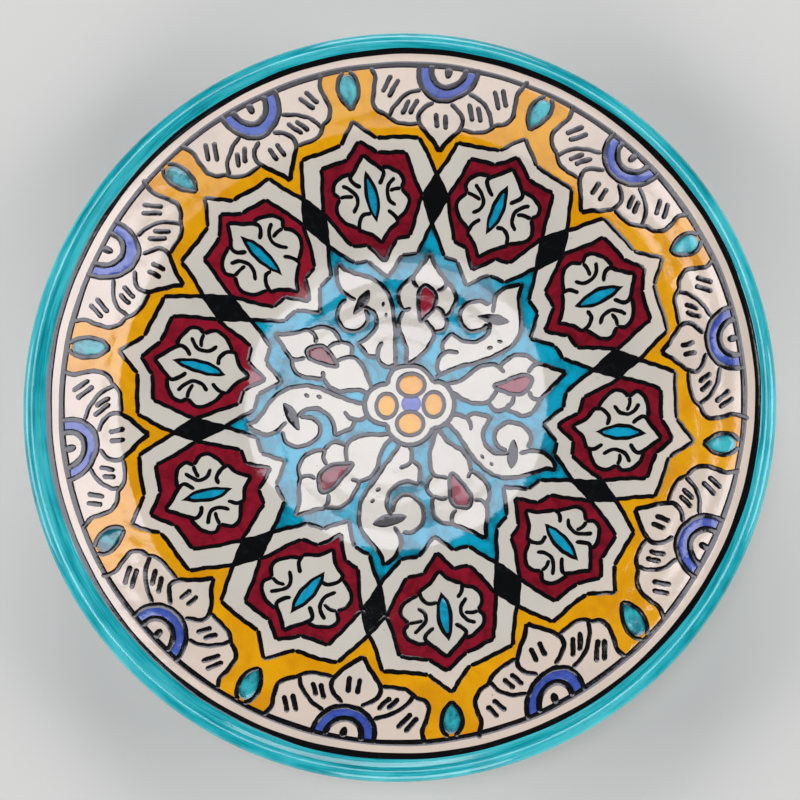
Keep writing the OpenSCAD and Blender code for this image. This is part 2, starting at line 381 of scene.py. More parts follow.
@dataclass(frozen=True)
class Hand:
    """The painter's hand: where the drawing drifts, leans and trembles when it is laid down."""

    section: Section
    turn: float = math.radians(9)
    drawn_r: float = 134.7
    band_off: Point = (1.6, 0.8)
    star_off: Point = (5.6, 1.0)
    flower_off: Point = (5.6, -0.4)
    floor_spread: float = 1.035
    lean: tuple[float, ...] = (-0.6, -1.1, -0.4, 0.8, -1.7, -0.8, 0.2, 2.0, 0.6, 0.6)
    reach: tuple[float, ...] = (-1.2, -0.9, 1.5, 0.4, -2.0, 1.9, 0.6, 2.8, -0.4, -1.4)
    grip_from: float = 18.0
    grip_grows: float = 30.0
    grip_fades: float = 18.0
    still_w: float = 12.0
    tremble: float = 0.32
    ripples: tuple[tuple[Ripple, ...], ...] = (
        ((1.0, 0.17, 0.11, 1.1), (0.6, -0.23, 0.31, 4.0), (0.35, 0.9, 0.7, 0.0)),
        ((1.0, 0.13, -0.19, 2.3), (0.6, 0.29, 0.27, 5.0), (0.35, -1.1, 0.8, 1.0)))

    def medallion(self, k: float) -> float:
        """Direction of medallion k, anticlockwise from up."""
        return self.turn - k * STEP

    def valley(self, k: int) -> float:
        """Direction between medallions k and k + 1."""
        return self.medallion(k + 0.5)

    def shaken(self, p: np.ndarray) -> np.ndarray:
        """Moves points by the slow tremble of the hand.

        Args:
            p: the points, one row each.

        Returns:
            The moved points.
        """
        x, y = p.T
        moves = [sum(size * np.sin(along * x + across * y + phase)
                     for size, along, across, phase in axis) for axis in self.ripples]
        return p + self.tremble * np.column_stack(moves)

    def lay(self, points: np.ndarray, turn: float) -> np.ndarray:
        """Lays a motif on the plate.

        Args:
            points: the motif as it is drawn, upright.
            turn: the direction that it takes, anticlockwise from up.

        Returns:
            The points in the plate's plan.
        """
        x, y = np.asarray(points, float).T
        r, a = np.hypot(x, y), np.arctan2(x, y) - turn
        ring = np.array([-self.medallion(k) for k in range(REPEATS)])
        grip = np.clip((r - self.grip_from) / self.grip_grows, 0, 1)
        grip = grip * np.clip((self.drawn_r - r) / self.grip_fades, 0, 1)
        lean = np.interp(a, ring, np.radians(self.lean), period=math.tau)
        reach = np.interp(a, ring, self.reach, period=math.tau)
        a, r = a + grip * lean, r + grip * reach
        p = np.column_stack([r * np.sin(a), r * np.cos(a)])
        still = np.clip((self.drawn_r - r) / self.still_w, 0, 1)[:, None]
        p = p + still * (self.shaken(p) - p)
        r = np.hypot(*p.T)[:, None]
        foot = self.section.thrown(np.array([self.section.lip_foot_r]))[0]
        low = (foot - self.section.thrown(r)) / (foot - self.section.floor_z)
        near = 1 - (np.minimum(r, self.drawn_r) / self.drawn_r) ** 2
        band, star = np.array(self.band_off), np.array(self.star_off)
        return p * (1 + (self.floor_spread - 1) * low) + band + (star - band) * near


# ---------------------------------------------------------------- meshes


def flat_ring(radius: float | np.ndarray, z: float | np.ndarray) -> np.ndarray:
    """A circle about the plate's axis at one height, or at a height for each of its points."""
    return np.column_stack([CIRCLE * np.reshape(radius, (-1, 1)), np.broadcast_to(z, ROUND)])


def pole(z: float) -> np.ndarray:
    """A ring of one point, on the axis."""
    return np.array([[0, 0, z]])


def mesh_of(name: str, verts: np.ndarray, faces: list[Sequence[int]],
            sharp: float = 50.0) -> bpy.types.Mesh:
    """Makes a closed mesh from points in millimetres, with its faces turned outwards.

    Args:
        name: the mesh's name.
        verts: one row a point.
        faces: the points of each face.
        sharp: the angle in degrees past which an edge stays sharp.

    Returns:
        The mesh, in metres.
    """
    mesh = bpy.data.meshes.new(name)
    mesh.from_pydata((verts * MM).tolist(), [], faces)
    work = bmesh.new()
    work.from_mesh(mesh)
    bmesh.ops.recalc_face_normals(work, faces=work.faces)
    work.to_mesh(mesh)
    work.free()
    mesh.shade_smooth()
    mesh.set_sharp_from_angle(angle=math.radians(sharp))
    return mesh


def lathe(name: str, rings: list[np.ndarray], closed: bool,
          sharp: float = 50.0) -> bpy.types.Mesh:
    """Joins rings of points into a solid.

    Args:
        name: the mesh's name.
        rings: each ring's points; a ring of one point is a pole on the axis.
        closed: whether the last ring joins the first.
        sharp: the angle in degrees past which an edge stays sharp.

    Returns:
        The mesh.
    """
    starts = np.cumsum([0] + [len(r) for r in rings])
    faces: list[Sequence[int]] = []
    order = list(range(len(rings)))
    for i, j in zip(order, order[1:] + (order[:1] if closed else [])):
        a, b = int(starts[i]), int(starts[j])
        for s in range(ROUND):
            t = (s + 1) % ROUND
            if len(rings[i]) == 1:
                faces.append((a, b + s, b + t))
            elif len(rings[j]) == 1:
                faces.append((a + s, b, a + t))
            else:
                faces.append((a + s, a + t, b + t, b + s))
    return mesh_of(name, np.concatenate(rings), faces, sharp)


@dataclass
class Region:
    """A plan shape to be filled with colour: its outline, what is left out, and its own tone."""

    outer: np.ndarray
    holes: list[np.ndarray] = field(default_factory=list)
    tone: float = 0.5

    @property
    def loops(self) -> list[np.ndarray]:
        """Its edges: the outline, and then round each hole."""
        return [self.outer] + self.holes

    def covers(self, points: np.ndarray) -> np.ndarray:
        """Tells which points the colour covers.

        Args:
            points: one row a point.

        Returns:
            True for each point inside the outline and outside the holes.
        """
        inside = within(points, self.outer)
        for hole in self.holes:
            inside[inside] = ~within(points[inside], hole)
        return inside


@dataclass(frozen=True)
class Filler:
    """Fills plan shapes with a thin, closed layer of colour that lies on the plate's face."""

    section: Section
    grain: float = 1.5
    grain_gap: float = 0.45
    bead: float = 0.45
    bead_gap: float = 0.9
    edge_share: float = 0.4
    sink: float = 0.05

    def spots(self, region: Region) -> np.ndarray:
        """Chooses the points inside a region: a bead along its edge and an even spread within.

        Args:
            region: the plan shape.

        Returns:
            The points, none of them on the edge.
        """
        loops = region.loops
        tree = KDTree(sum(len(loop) for loop in loops))
        for i, (x, y) in enumerate(np.concatenate(loops)):
            tree.insert((x, y, 0), i)
        tree.balance()
        beads = []
        for loop in loops:
            along = np.roll(loop, -1, axis=0) - np.roll(loop, 1, axis=0)
            out = np.column_stack([along[:, 1], -along[:, 0]])
            out /= np.linalg.norm(along, axis=1)[:, None] + 1e-9
            beads += [loop + self.bead * out, loop - self.bead * out]
        low, high = region.outer.min(0), region.outer.max(0)
        grid = []
        for i, y in enumerate(np.arange(low[1], high[1], self.grain * math.sqrt(0.75))):
            row = np.arange(low[0] + (i % 2) * self.grain / 2, high[0], self.grain)
            grid.append(np.column_stack([row, np.full(len(row), y)]))
        kept = []
        for points, clear in ((np.concatenate(beads), self.bead * self.bead_gap),
                              (np.concatenate(grid), self.bead + self.grain * self.grain_gap)):
            points = points[region.covers(points)]
            far = [tree.find((x, y, 0))[2] >= clear for x, y in points]
            kept.append(points[np.array(far, bool)] if len(points) else points)
        return np.concatenate(kept)

    def layer(self, region: Region) -> tuple[np.ndarray, np.ndarray, np.ndarray]:
        """Triangulates a region.

        Args:
            region: the plan shape.

        Returns:
            Its points, its triangles and each point's distance from the edge.
        """
        loops = region.loops
        edges, start = [], 0
        for loop in loops:
            n = len(loop)
            edges += [(start + i, start + (i + 1) % n) for i in range(n)]
            start += n
        points = np.concatenate(loops + [self.spots(region)])
        cdt = delaunay_2d_cdt([Vector(p) for p in points.tolist()], edges, [], 0, 1e-5)
        plan = np.array([tuple(v) for v in cdt[0]])
        faces = np.array(cdt[2])
        faces = faces[region.covers(plan[faces].mean(axis=1))]
        used, faces = np.unique(faces, return_inverse=True)
        plan, faces = plan[used], faces.reshape(-1, 3)
        rim = KDTree(len(plan))
        for i in np.unique(self.border(faces)):
            rim.insert((*plan[i], 0), int(i))
        rim.balance()
        pool = np.array([rim.find((x, y, 0))[2] for x, y in plan])
        return plan, faces, pool

    @staticmethod
    def border(faces: np.ndarray) -> np.ndarray:
        """Finds the edges that only one triangle has.

        Args:
            faces: the triangles.

        Returns:
            The edges, in their triangle's direction.
        """
        edges = np.concatenate([faces[:, [0, 1]], faces[:, [1, 2]], faces[:, [2, 0]]])
        _, index, count = np.unique(np.sort(edges, axis=1), axis=0, return_index=True,
                                    return_counts=True)
        return edges[index[count == 1]]

    def mesh(self, name: str, regions: Sequence[Region], lift: float) -> bpy.types.Mesh:
        """Makes one mesh of closed, thin layers.

        Args:
            name: the mesh's name.
            regions: the plan shapes.
            lift: how far the colour stands above the glaze, in millimetres.

        Returns:
            The mesh, with each point's distance from the edge as "pool" and its tone as "tone".
        """
        verts, faces, pools, tones = [], [], [], []
        count = 0
        for region in regions:
            plan, tris, pool = self.layer(region)
            z = self.section.height(*plan.T)
            crown = self.edge_share + (1 - self.edge_share) * np.clip(pool / self.bead, 0, 1)
            n = len(plan)
            verts += [np.column_stack([plan, face])
                      for face in (z + lift * crown, z - self.sink)]
            faces += (tris + count).tolist() + (tris[:, ::-1] + count + n).tolist()
            rim = self.border(tris) + count
            faces += [(b, a, a + n, b + n) for a, b in rim.tolist()]
            pools += [pool, pool]
            tones.append(np.full(2 * n, region.tone))
            count += 2 * n
        mesh = mesh_of(name, np.concatenate(verts), faces, sharp=35)
        for key, values in (("pool", pools), ("tone", tones)):
            data = mesh.attributes.new(key, "FLOAT", "POINT").data
            data.foreach_set("value", np.concatenate(values).astype(np.float32))
        return mesh


@dataclass(frozen=True)
class Stroke:
    """One pull of the brush along a line in plan, in millimetres."""

    path: np.ndarray
    width: float = 1.4
    closed: bool = False
    press: float = 0.5
    lift: float = 0.8
    least: float = 0.05

    def reach(self) -> np.ndarray:
        """Works out the stroke's half width, round where the brush sets down and lifts.

        Returns:
            One number for each point of the path.
        """
        half = self.width / 2
        if self.closed:
            return np.full(len(self.path), half)
        run = np.concatenate([[0], np.cumsum(np.linalg.norm(np.diff(self.path, axis=0), axis=1))])
        down = np.clip(run / (self.press * self.width), self.least, 1)
        up = np.clip((run[-1] - run) / (self.lift * self.width), self.least, 1)
        return half * np.sqrt(1 - (1 - down) ** 2) * np.sqrt(1 - (1 - up) ** 2)


class Nodes:
    """Adds nodes to one tree and joins them up."""

    def __init__(self, tree: bpy.types.NodeTree) -> None:
        """Takes the tree that the nodes go into."""
        self.tree = tree

    def node(self, kind: str, inputs: dict[int | str, object] | None = None,
             **settings: object) -> bpy.types.Node:
        """Adds a node, sets it up, and links or sets its inputs.

        Args:
            kind: the node's type name.
            inputs: a value or an output socket for each named or numbered input.
            settings: the node's own properties.

        Returns:
            The node.
        """
        node = self.tree.nodes.new(kind)
        for key, value in settings.items():
            setattr(node, key, value)
        for key, value in (inputs or {}).items():
            if isinstance(value, bpy.types.NodeSocket):
                self.tree.links.new(value, node.inputs[key])
            else:
                node.inputs[key].default_value = value
        return node

    def maths(self, operation: str, a: object, b: object = 0.0,
              clamp: bool = False) -> bpy.types.NodeSocket:
        """What a Math node gives for one or two values."""
        return self.node("ShaderNodeMath", {0: a, 1: b}, operation=operation,
                         use_clamp=clamp).outputs[0]

    def vector(self, operation: str, a: object, b: object = None, scale: object = None,
               output: str = "Vector") -> bpy.types.NodeSocket:
        """Adds a Vector Math node.

        Args:
            operation: what it does.
            a: the first vector.
            b: the second, if the operation has one.
            scale: the number to scale by, if it does that.
            output: which output is wanted.

        Returns:
            The node's output.
        """
        given = {0: a, 1: b, "Scale": scale}
        inputs = {key: value for key, value in given.items() if value is not None}
        return self.node("ShaderNodeVectorMath", inputs, operation=operation).outputs[output]


class Brush(Nodes):
    """A geometry-nodes brush that turns drawn lines into thin, raised strokes of paint."""

    sizes: dict[str, float] = {
        "Spacing": 0.55 * MM, "Weight": 1.3, "Flatness": 0.03, "Wander": 0.12 * MM,
        "Unevenness": 0.3, "Seed": 3.0}
    rest = 0.05
    drift_scale = 180.0
    fibre_scale = 420.0
    sides = 8
    sharp = math.radians(60)

    def __init__(self, section: Section) -> None:
        """Builds the brush's tree and names its inputs.

        Args:
            section: the plate's section that the strokes lie on.
        """
        super().__init__(bpy.data.node_groups.new("brush_stroke", "GeometryNodeTree"))
        self.section = section
        self.add_socket("Geometry", "Geometry")
        self.sockets = {}
        for name, value in self.sizes.items():
            socket = self.add_socket(name, "Float")
            socket.default_value = value
            self.sockets[name] = socket.identifier
        self.sockets["Paint"] = self.add_socket("Paint", "Material").identifier
        self.add_socket("Geometry", "Geometry", "OUTPUT")
        self.wire()

    def add_socket(self, name: str, kind: str,
                   way: str = "INPUT") -> bpy.types.NodeTreeInterfaceSocket:
        """Adds a named socket to the tree's own inputs or outputs."""
        return self.tree.interface.new_socket(name, in_out=way, socket_type="NodeSocket" + kind)

    def wire(self) -> None:
        """Lays the tree: lines, samples, a wandering path, a flat lens along it, and the paint."""
        given = self.node("NodeGroupInput").outputs
        line = self.node("GeometryNodeMeshToCurve", {"Mesh": given["Geometry"]})
        even = self.node("GeometryNodeResampleCurve",
                         {"Curve": line.outputs[0], "Length": given["Spacing"]}, mode="LENGTH")
        place = self.node("GeometryNodeInputPosition").outputs[0]
        seed = self.node("ShaderNodeCombineXYZ", {"Z": given["Seed"]}).outputs[0]
        spot = self.vector("ADD", place, seed)
        drift = self.node("ShaderNodeTexNoise",
                          {"Vector": spot, "Scale": self.drift_scale, "Detail": 1.0})
        centred = self.vector("SUBTRACT", drift.outputs["Color"], (0.5, 0.5, 0.5))
        level = self.vector("MULTIPLY", centred, (2.0, 2.0, 0.0))
        move = self.vector("SCALE", level, scale=given["Wander"])
        moved = self.node("GeometryNodeSetPosition", {"Geometry": even.outputs[0], "Offset": move})
        upright = self.node("GeometryNodeSetCurveNormal", {"Curve": moved.outputs[0]}, mode="Z_UP")
        drawn = self.node("GeometryNodeInputNamedAttribute", {"Name": "reach"}, data_type="FLOAT")
        reach = self.maths("MULTIPLY", drawn.outputs[0], given["Weight"])
        fibre = self.node("ShaderNodeTexNoise",
                          {"Vector": spot, "Scale": self.fibre_scale, "Detail": 2.0})
        swing = self.maths("SUBTRACT", fibre.outputs["Fac"], 0.5)
        swing = self.maths("MULTIPLY", swing, given["Unevenness"])
        share = self.maths("ADD", self.maths("MULTIPLY", swing, 2.0), 1.0)
        width = self.maths("MULTIPLY", reach, share)
        ring = self.node("GeometryNodeCurvePrimitiveCircle",
                         {"Resolution": self.sides, "Radius": 1.0})
        squash = self.node("ShaderNodeCombineXYZ", {"X": 1.0, "Y": given["Flatness"], "Z": 1.0})
        lens = self.node("GeometryNodeTransform",
                         {"Geometry": ring.outputs[0], "Scale": squash.outputs[0]})
        body = self.node("GeometryNodeCurveToMesh", {
            "Curve": upright.outputs[0], "Profile Curve": lens.outputs[0], "Scale": width,
            "Fill Caps": True})
        real = self.node("GeometryNodeRealizeInstances", {"Geometry": body.outputs[0]})
        done = self.node("GeometryNodeSetMaterial",
                         {"Geometry": real.outputs[0], "Material": given["Paint"]})
        self.node("NodeGroupOutput", {"Geometry": done.outputs[0]})

    def mesh(self, name: str, strokes: Sequence[Stroke],
             paint: bpy.types.Material) -> bpy.types.Mesh:
        """Paints strokes on the plate.

        Args:
            name: the mesh's name.
            strokes: the strokes, in the plate's plan.
            paint: their material.

        Returns:
            One plain mesh.
        """
        edges, start = [], 0
        for stroke in strokes:
            n = len(stroke.path)
            edges += [(start + i, start + i + 1) for i in range(n - 1)]
            if stroke.closed:
                edges.append((start + n - 1, start))
            start += n
        plan = np.concatenate([stroke.path for stroke in strokes]) * MM
        reach = np.concatenate([stroke.reach() for stroke in strokes]) * MM
        lines = bpy.data.meshes.new(name + "_lines")
        lines.from_pydata(np.column_stack([plan, np.zeros(len(plan))]).tolist(), edges, [])
        data = lines.attributes.new("reach", "FLOAT", "POINT").data
        data.foreach_set("value", reach.astype(np.float32))
        holder = bpy.data.objects.new(name + "_lines", lines)
        bpy.context.scene.collection.objects.link(holder)
        modifier = holder.modifiers.new("brush", "NODES")
        modifier.node_group = self.tree
        for key, value in {**self.sizes, "Paint": paint}.items():
            modifier[self.sockets[key]] = value
        graph = bpy.context.evaluated_depsgraph_get()
        mesh = bpy.data.meshes.new_from_object(holder.evaluated_get(graph), depsgraph=graph)
        mesh.name = name
        bpy.data.objects.remove(holder)
        bpy.data.meshes.remove(lines)
        self.drape(mesh)
        return mesh

    def drape(self, mesh: bpy.types.Mesh) -> None:
        """Lays a flat mesh on the plate's face, with its widest line just above the glaze.

        Args:
            mesh: the strokes, flat about a height of zero.
        """
        flat = np.empty(3 * len(mesh.vertices), np.float32)
        mesh.vertices.foreach_get("co", flat)
        points = flat.reshape(-1, 3).astype(float)
        face = self.section.height(points[:, 0] / MM, points[:, 1] / MM)
        points[:, 2] += (face + self.rest) * MM
        mesh.vertices.foreach_set("co", points.astype(np.float32).ravel())
        mesh.shade_smooth()
        mesh.set_sharp_from_angle(angle=self.sharp)
        mesh.update()


# ---------------------------------------------------------------- finishes


def srgb(red: float, green: float, blue: float) -> Colour:
    """Turns a colour's screen values into the linear colour that shaders take.

    Args:
        red: its red, 0 to 255.
        green: its green.
        blue: its blue.

    Returns:
        The linear colour, opaque.
    """
    shares = (red / 255, green / 255, blue / 255)
    return (*(v / 12.92 if v <= 0.04045 else ((v + 0.055) / 1.055) ** 2.4 for v in shares), 1.0)


class Wiring(Nodes):
    """Lays the nodes of one material."""

    def __init__(self, name: str) -> None:
        """Starts a material with its shader and the piece's own coordinates.

        Args:
            name: the material's name.
        """
        self.material = bpy.data.materials.new(name)
        self.material.use_nodes = True
        super().__init__(self.material.node_tree)
        self.shader = self.tree.nodes["Principled BSDF"]
        self.place = self.node("ShaderNodeTexCoord").outputs["Object"]

    def noise(self, scale: float, detail: float = 3.0, vector: object = None,
              **more: float) -> bpy.types.NodeSocket:
        """The grey value of a noise, in features a metre."""
        inputs = {"Vector": vector or self.place, "Scale": scale, "Detail": detail, **more}
        return self.node("ShaderNodeTexNoise", inputs).outputs["Fac"]

    def spread(self, value: object, low: float, high: float, to_low: float = 0.0,
               to_high: float = 1.0) -> bpy.types.NodeSocket:
        """A value taken from one range to another, held at the ends."""
        inputs = {"Value": value, "From Min": low, "From Max": high, "To Min": to_low,
                  "To Max": to_high}
        return self.node("ShaderNodeMapRange", inputs, interpolation_type="SMOOTHSTEP").outputs[0]

    def blend(self, factor: object, a: object, b: object) -> bpy.types.NodeSocket:
        """Two colours, mixed."""
        return self.node("ShaderNodeMix", {0: factor, 6: a, 7: b}, data_type="RGBA").outputs[2]

    def number(self, name: str) -> bpy.types.NodeSocket:
        """A number that the mesh carries."""
        return self.node("ShaderNodeAttribute", attribute_name=name).outputs["Fac"]

    def outward(self) -> tuple[bpy.types.NodeSocket, bpy.types.NodeSocket]:
        """The place without its height, and its distance from the plate's axis."""
        flat = self.vector("MULTIPLY", self.place, (1.0, 1.0, 0.0))
        return flat, self.vector("LENGTH", flat, output="Value")

    def swirl(self, around: float, across: float) -> bpy.types.NodeSocket:
        """Draws coordinates out round the plate's axis, so that a noise becomes brushed rings.

        Args:
            around: how often the pattern changes in one turn.
            across: how often it changes in a metre from the axis outwards or upwards.

        Returns:
            A vector.
        """
        flat, radius = self.outward()
        height = self.node("ShaderNodeSeparateXYZ", {0: self.place}).outputs["Z"]
        depth = self.maths("MULTIPLY", self.maths("ADD", radius, height), across)
        ring = self.vector("SCALE", self.vector("NORMALIZE", flat), scale=around)
        return self.vector("ADD", ring, self.node("ShaderNodeCombineXYZ", {"Z": depth}).outputs[0])

    def specks(self, scale: float, size: float, share: float,
               strength: float = 1.0) -> bpy.types.NodeSocket:
        """Scatters round specks.

        Args:
            scale: cells a metre.
            size: a speck's radius, as a share of a cell.
            share: how many of the cells hold one.
            strength: how strong a speck is.

        Returns:
            The strength on a speck and 0 off it.
        """
        cells = self.node("ShaderNodeTexVoronoi",
                          {"Vector": self.place, "Scale": scale, "Randomness": 1.0})
        pick = self.node("ShaderNodeSeparateXYZ", {0: cells.outputs["Color"]}).outputs["X"]
        chosen = self.maths("LESS_THAN", pick, share)
        soft_edge = 0.4
        speck = self.spread(cells.outputs["Distance"], size, size * soft_edge, 0.0, strength)
        return self.maths("MULTIPLY", speck, chosen)

    def finish(self, colour: object, roughness: object,
               bumps: Sequence[tuple[object, float]]) -> bpy.types.Material:
        """Wires up the shader.

        Args:
            colour: the base colour.
            roughness: how dull it is.
            bumps: heights from 0 to 1, each with the height of 1 in millimetres.

        Returns:
            The material.
        """
        wires = {"Base Color": colour, "Roughness": roughness}
        for height, depth in bumps:
            inputs = {"Height": height, "Distance": depth * MM, "Strength": 1.0}
            if "Normal" in wires:
                inputs["Normal"] = wires["Normal"]
            wires["Normal"] = self.node("ShaderNodeBump", inputs).outputs["Normal"]
        for socket, value in wires.items():
            if isinstance(value, bpy.types.NodeSocket):
                self.tree.links.new(value, self.shader.inputs[socket])
            else:
                self.shader.inputs[socket].default_value = value
        return self.material

    def glassy_skin(self) -> list[tuple[object, float]]:
        """The faint waves, ripples and pinholes that a fired glaze has all over."""
        swell, ripple, pinhole = self.noise(140, 1), self.noise(800, 2), self.specks(160, 0.07, 0.3)
        return [(swell, 0.05), (ripple, 0.011), (pinhole, 0.02)]


@dataclass(frozen=True)
class CreamGlaze:
    """Tin-white glaze over red clay, with painted light on the flange and painted shade in the
    hollow.
    """

    # Painted light and shade: the hollow's cream is painted greyer and darker, the flange's cream
    # lighter and warmer.
    shaded_hollow: Colour = srgb(218, 213, 202)
    flange: Colour = srgb(232, 214, 198)
    shade: Colour = srgb(192, 184, 176)
    speck: Colour = srgb(128, 88, 56)
    # Where the painted shade of the hollow gives way to the painted light of the flange, in metres
    # from the axis.
    shaded_hollow_r: float = 0.098
    lit_flange_r: float = 0.122
    cloud: float = 0.35
    fleck: float = 0.75
    fine_fleck: float = 0.35
    roughness: float = 0.05
    dulling: float = 0.03

    def make(self) -> bpy.types.Material:
        """Builds the material.

        Returns:
            The material.
        """
        w = Wiring("cream_glaze")
        _, radius = w.outward()
        # Painted light and shade: greyer, darker cream in the hollow, lighter, warmer cream out on
        # the flange.
        base = w.blend(w.spread(radius, self.shaded_hollow_r, self.lit_flange_r), self.shaded_hollow, self.flange)
        base = w.blend(w.spread(w.noise(38, 4), 0.42, 0.75, 0.0, self.cloud), base, self.shade)
        base = w.blend(w.specks(210, 0.085, 0.16, self.fleck), base, self.speck)
        base = w.blend(w.specks(520, 0.12, 0.05, self.fine_fleck), base, self.speck)
        dull = w.spread(w.noise(90), 0.3, 0.7, self.roughness, self.roughness + self.dulling)
        return w.finish(base, dull, w.glassy_skin())


@dataclass(frozen=True)
class RimGlaze:
    """Copper turquoise, brushed on while the wheel turned: rings of thick and thin glaze."""

    thin: Colour = srgb(78, 206, 216)
    full: Colour = srgb(22, 174, 188)
    deep: Colour = srgb(0, 124, 136)
    broad_share: float = 0.65
    fine_share: float = 0.35
    cloud: float = 0.4
    brushed: float = 0.008
    roughness: float = 0.09

    def make(self) -> bpy.types.Material:
        """Builds the material.

        Returns:
            The material.
        """
        w = Wiring("turquoise_rim_glaze")
        broad = w.noise(1.0, 4, w.swirl(3.0, 260), Roughness=0.6)
        fine = w.noise(1.0, 3, w.swirl(9.0, 1500), Roughness=0.6)
        mixed = w.maths("ADD", w.maths("MULTIPLY", broad, self.broad_share),
                        w.maths("MULTIPLY", fine, self.fine_share))
        base = w.blend(w.spread(mixed, 0.36, 0.56), self.thin, self.full)
        base = w.blend(w.spread(mixed, 0.5, 0.68), base, self.deep)
        base = w.blend(w.spread(w.noise(60, 4), 0.5, 0.8, 0.0, self.cloud), base, self.deep)
        return w.finish(base, self.roughness, [(fine, self.brushed)] + w.glassy_skin())


@dataclass(frozen=True)
class Paint:
    """A ceramic colour laid with a soft brush: streaked, and darker where it pooled."""

    name: str
    thin: Colour
    deep: Colour
    pool_width: float = 1.4
    pool_depth: float = 0.5
    streak: float = 0.6
    streak_scale: float = 120.0
    tone_range: float = 0.4
    roughness: float = 0.06
    dulling: float = 0.04
    grain: float = 0.004

    def make(self) -> bpy.types.Material:
        """Builds the material.

        Returns:
            The material.
        """
        w = Wiring(self.name)
        edge = w.spread(w.number("pool"), 0.0, self.pool_width, self.pool_depth, 0.0)
        streaks = w.noise(self.streak_scale, 4, Roughness=0.65, Distortion=0.6)
        cloud = w.spread(streaks, 0.35, 0.7, 0.0, self.streak)
        tone = w.maths("MULTIPLY", w.maths("SUBTRACT", w.number("tone"), 0.5), self.tone_range)
        depth = w.maths("ADD", w.maths("ADD", edge, cloud), tone, clamp=True)
        base = w.blend(depth, self.thin, self.deep)
        dull = w.spread(w.noise(900), 0.5, 0.7, self.roughness, self.roughness + self.dulling)
        return w.finish(base, dull, w.glassy_skin() + [(w.noise(1500, 2), self.grain)])


@dataclass(frozen=True)
class BrushBlack:
    """Manganese black from a fine brush: dense, slightly gritty, and dry in places."""

    dense: Colour = srgb(5, 6, 10)
    dry: Colour = srgb(20, 21, 26)
    roughness: float = 0.07
    dulling: float = 0.08
    grain: float = 0.003

    def make(self) -> bpy.types.Material:
        """Builds the material.

        Returns:
            The material.
        """
        w = Wiring("black_brush")
        worn = w.spread(w.noise(260, 4, Roughness=0.7), 0.52, 0.72)
        base = w.blend(worn, self.dense, self.dry)
        dull = w.spread(w.noise(1400, 2), 0.55, 0.75, self.roughness, self.roughness + self.dulling)
        return w.finish(base, dull, w.glassy_skin() + [(w.noise(1800, 2), self.grain)])


@dataclass(frozen=True)
class BareClay:
    """Fired red earthenware, turned on the wheel and left bare."""

    clay: Colour = srgb(176, 106, 72)
    dark: Colour = srgb(128, 70, 46)
    grit: Colour = srgb(214, 178, 140)
    grit_strength: float = 0.5
    tool_marks: float = 0.12
    grain: float = 0.04
    roughness: float = 0.85

    def make(self) -> bpy.types.Material:
        """Builds the material.

        Returns:
            The material.
        """
        w = Wiring("bare_clay")
        turned = w.noise(1.0, 2, w.swirl(2.0, 900))
        base = w.blend(w.spread(w.noise(70, 4), 0.35, 0.7), self.clay, self.dark)
        base = w.blend(w.specks(900, 0.2, 0.2, self.grit_strength), base, self.grit)
        bumps = [(turned, self.tool_marks), (w.noise(1600), self.grain)]
        return w.finish(base, self.roughness, bumps)


class Finishes:
    """Every material on the plate, each made once."""

    def __init__(self) -> None:
        """Makes them all."""
        self.clay = BareClay().make()
        self.cream = CreamGlaze().make()
        self.rim = RimGlaze().make()
        self.black = BrushBlack().make()
        self.yellow = Paint("ochre_yellow", srgb(242, 172, 8), srgb(206, 126, 2),
                            pool_depth=0.45, streak=0.5, streak_scale=60).make()
        self.red = Paint("iron_red", srgb(150, 22, 44), srgb(84, 4, 18),
                         streak_scale=180).make()
        self.blue = Paint("cobalt_blue", srgb(78, 104, 196), srgb(34, 52, 140),
                          streak=0.5, streak_scale=200).make()
        self.wash = Paint("turquoise_wash", srgb(4, 170, 206), srgb(0, 80, 98), pool_width=2.0,
                          pool_depth=0.6, streak=0.8, streak_scale=80).make()
        self.leaf = Paint("turquoise_leaf", srgb(14, 166, 206), srgb(0, 96, 120), pool_width=0.8,
                          pool_depth=0.4, streak_scale=160).make()
        self.turquoise = Paint("turquoise_paint", srgb(60, 192, 204), srgb(0, 92, 106),
                               pool_depth=0.55, streak=0.9, streak_scale=110).make()


# ---------------------------------------------------------------- the plate's pieces


class Maker:
    """Puts finished meshes on the plate as pieces."""

    def piece(self, mesh: bpy.types.Mesh, slot: Slot, *nodes: str) -> bpy.types.Object:
        """Makes a piece of a finished mesh.

        Args:
            mesh: the mesh, in place and dressed.
            slot: its material slot, which is only written to the log.
            nodes: the frame's nodes that it stands for.

        Returns:
            The piece.
        """
        piece = bpy.data.objects.new(mesh.name, mesh)
        bpy.context.scene.collection.objects.link(piece)
        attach(piece, BODY)
        if nodes:
            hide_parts(*nodes)
        triangles = sum(len(p.vertices) - 2 for p in mesh.polygons)
        log.info("%s: %d triangles, %s", piece.name, triangles, slot.value)
        return piece


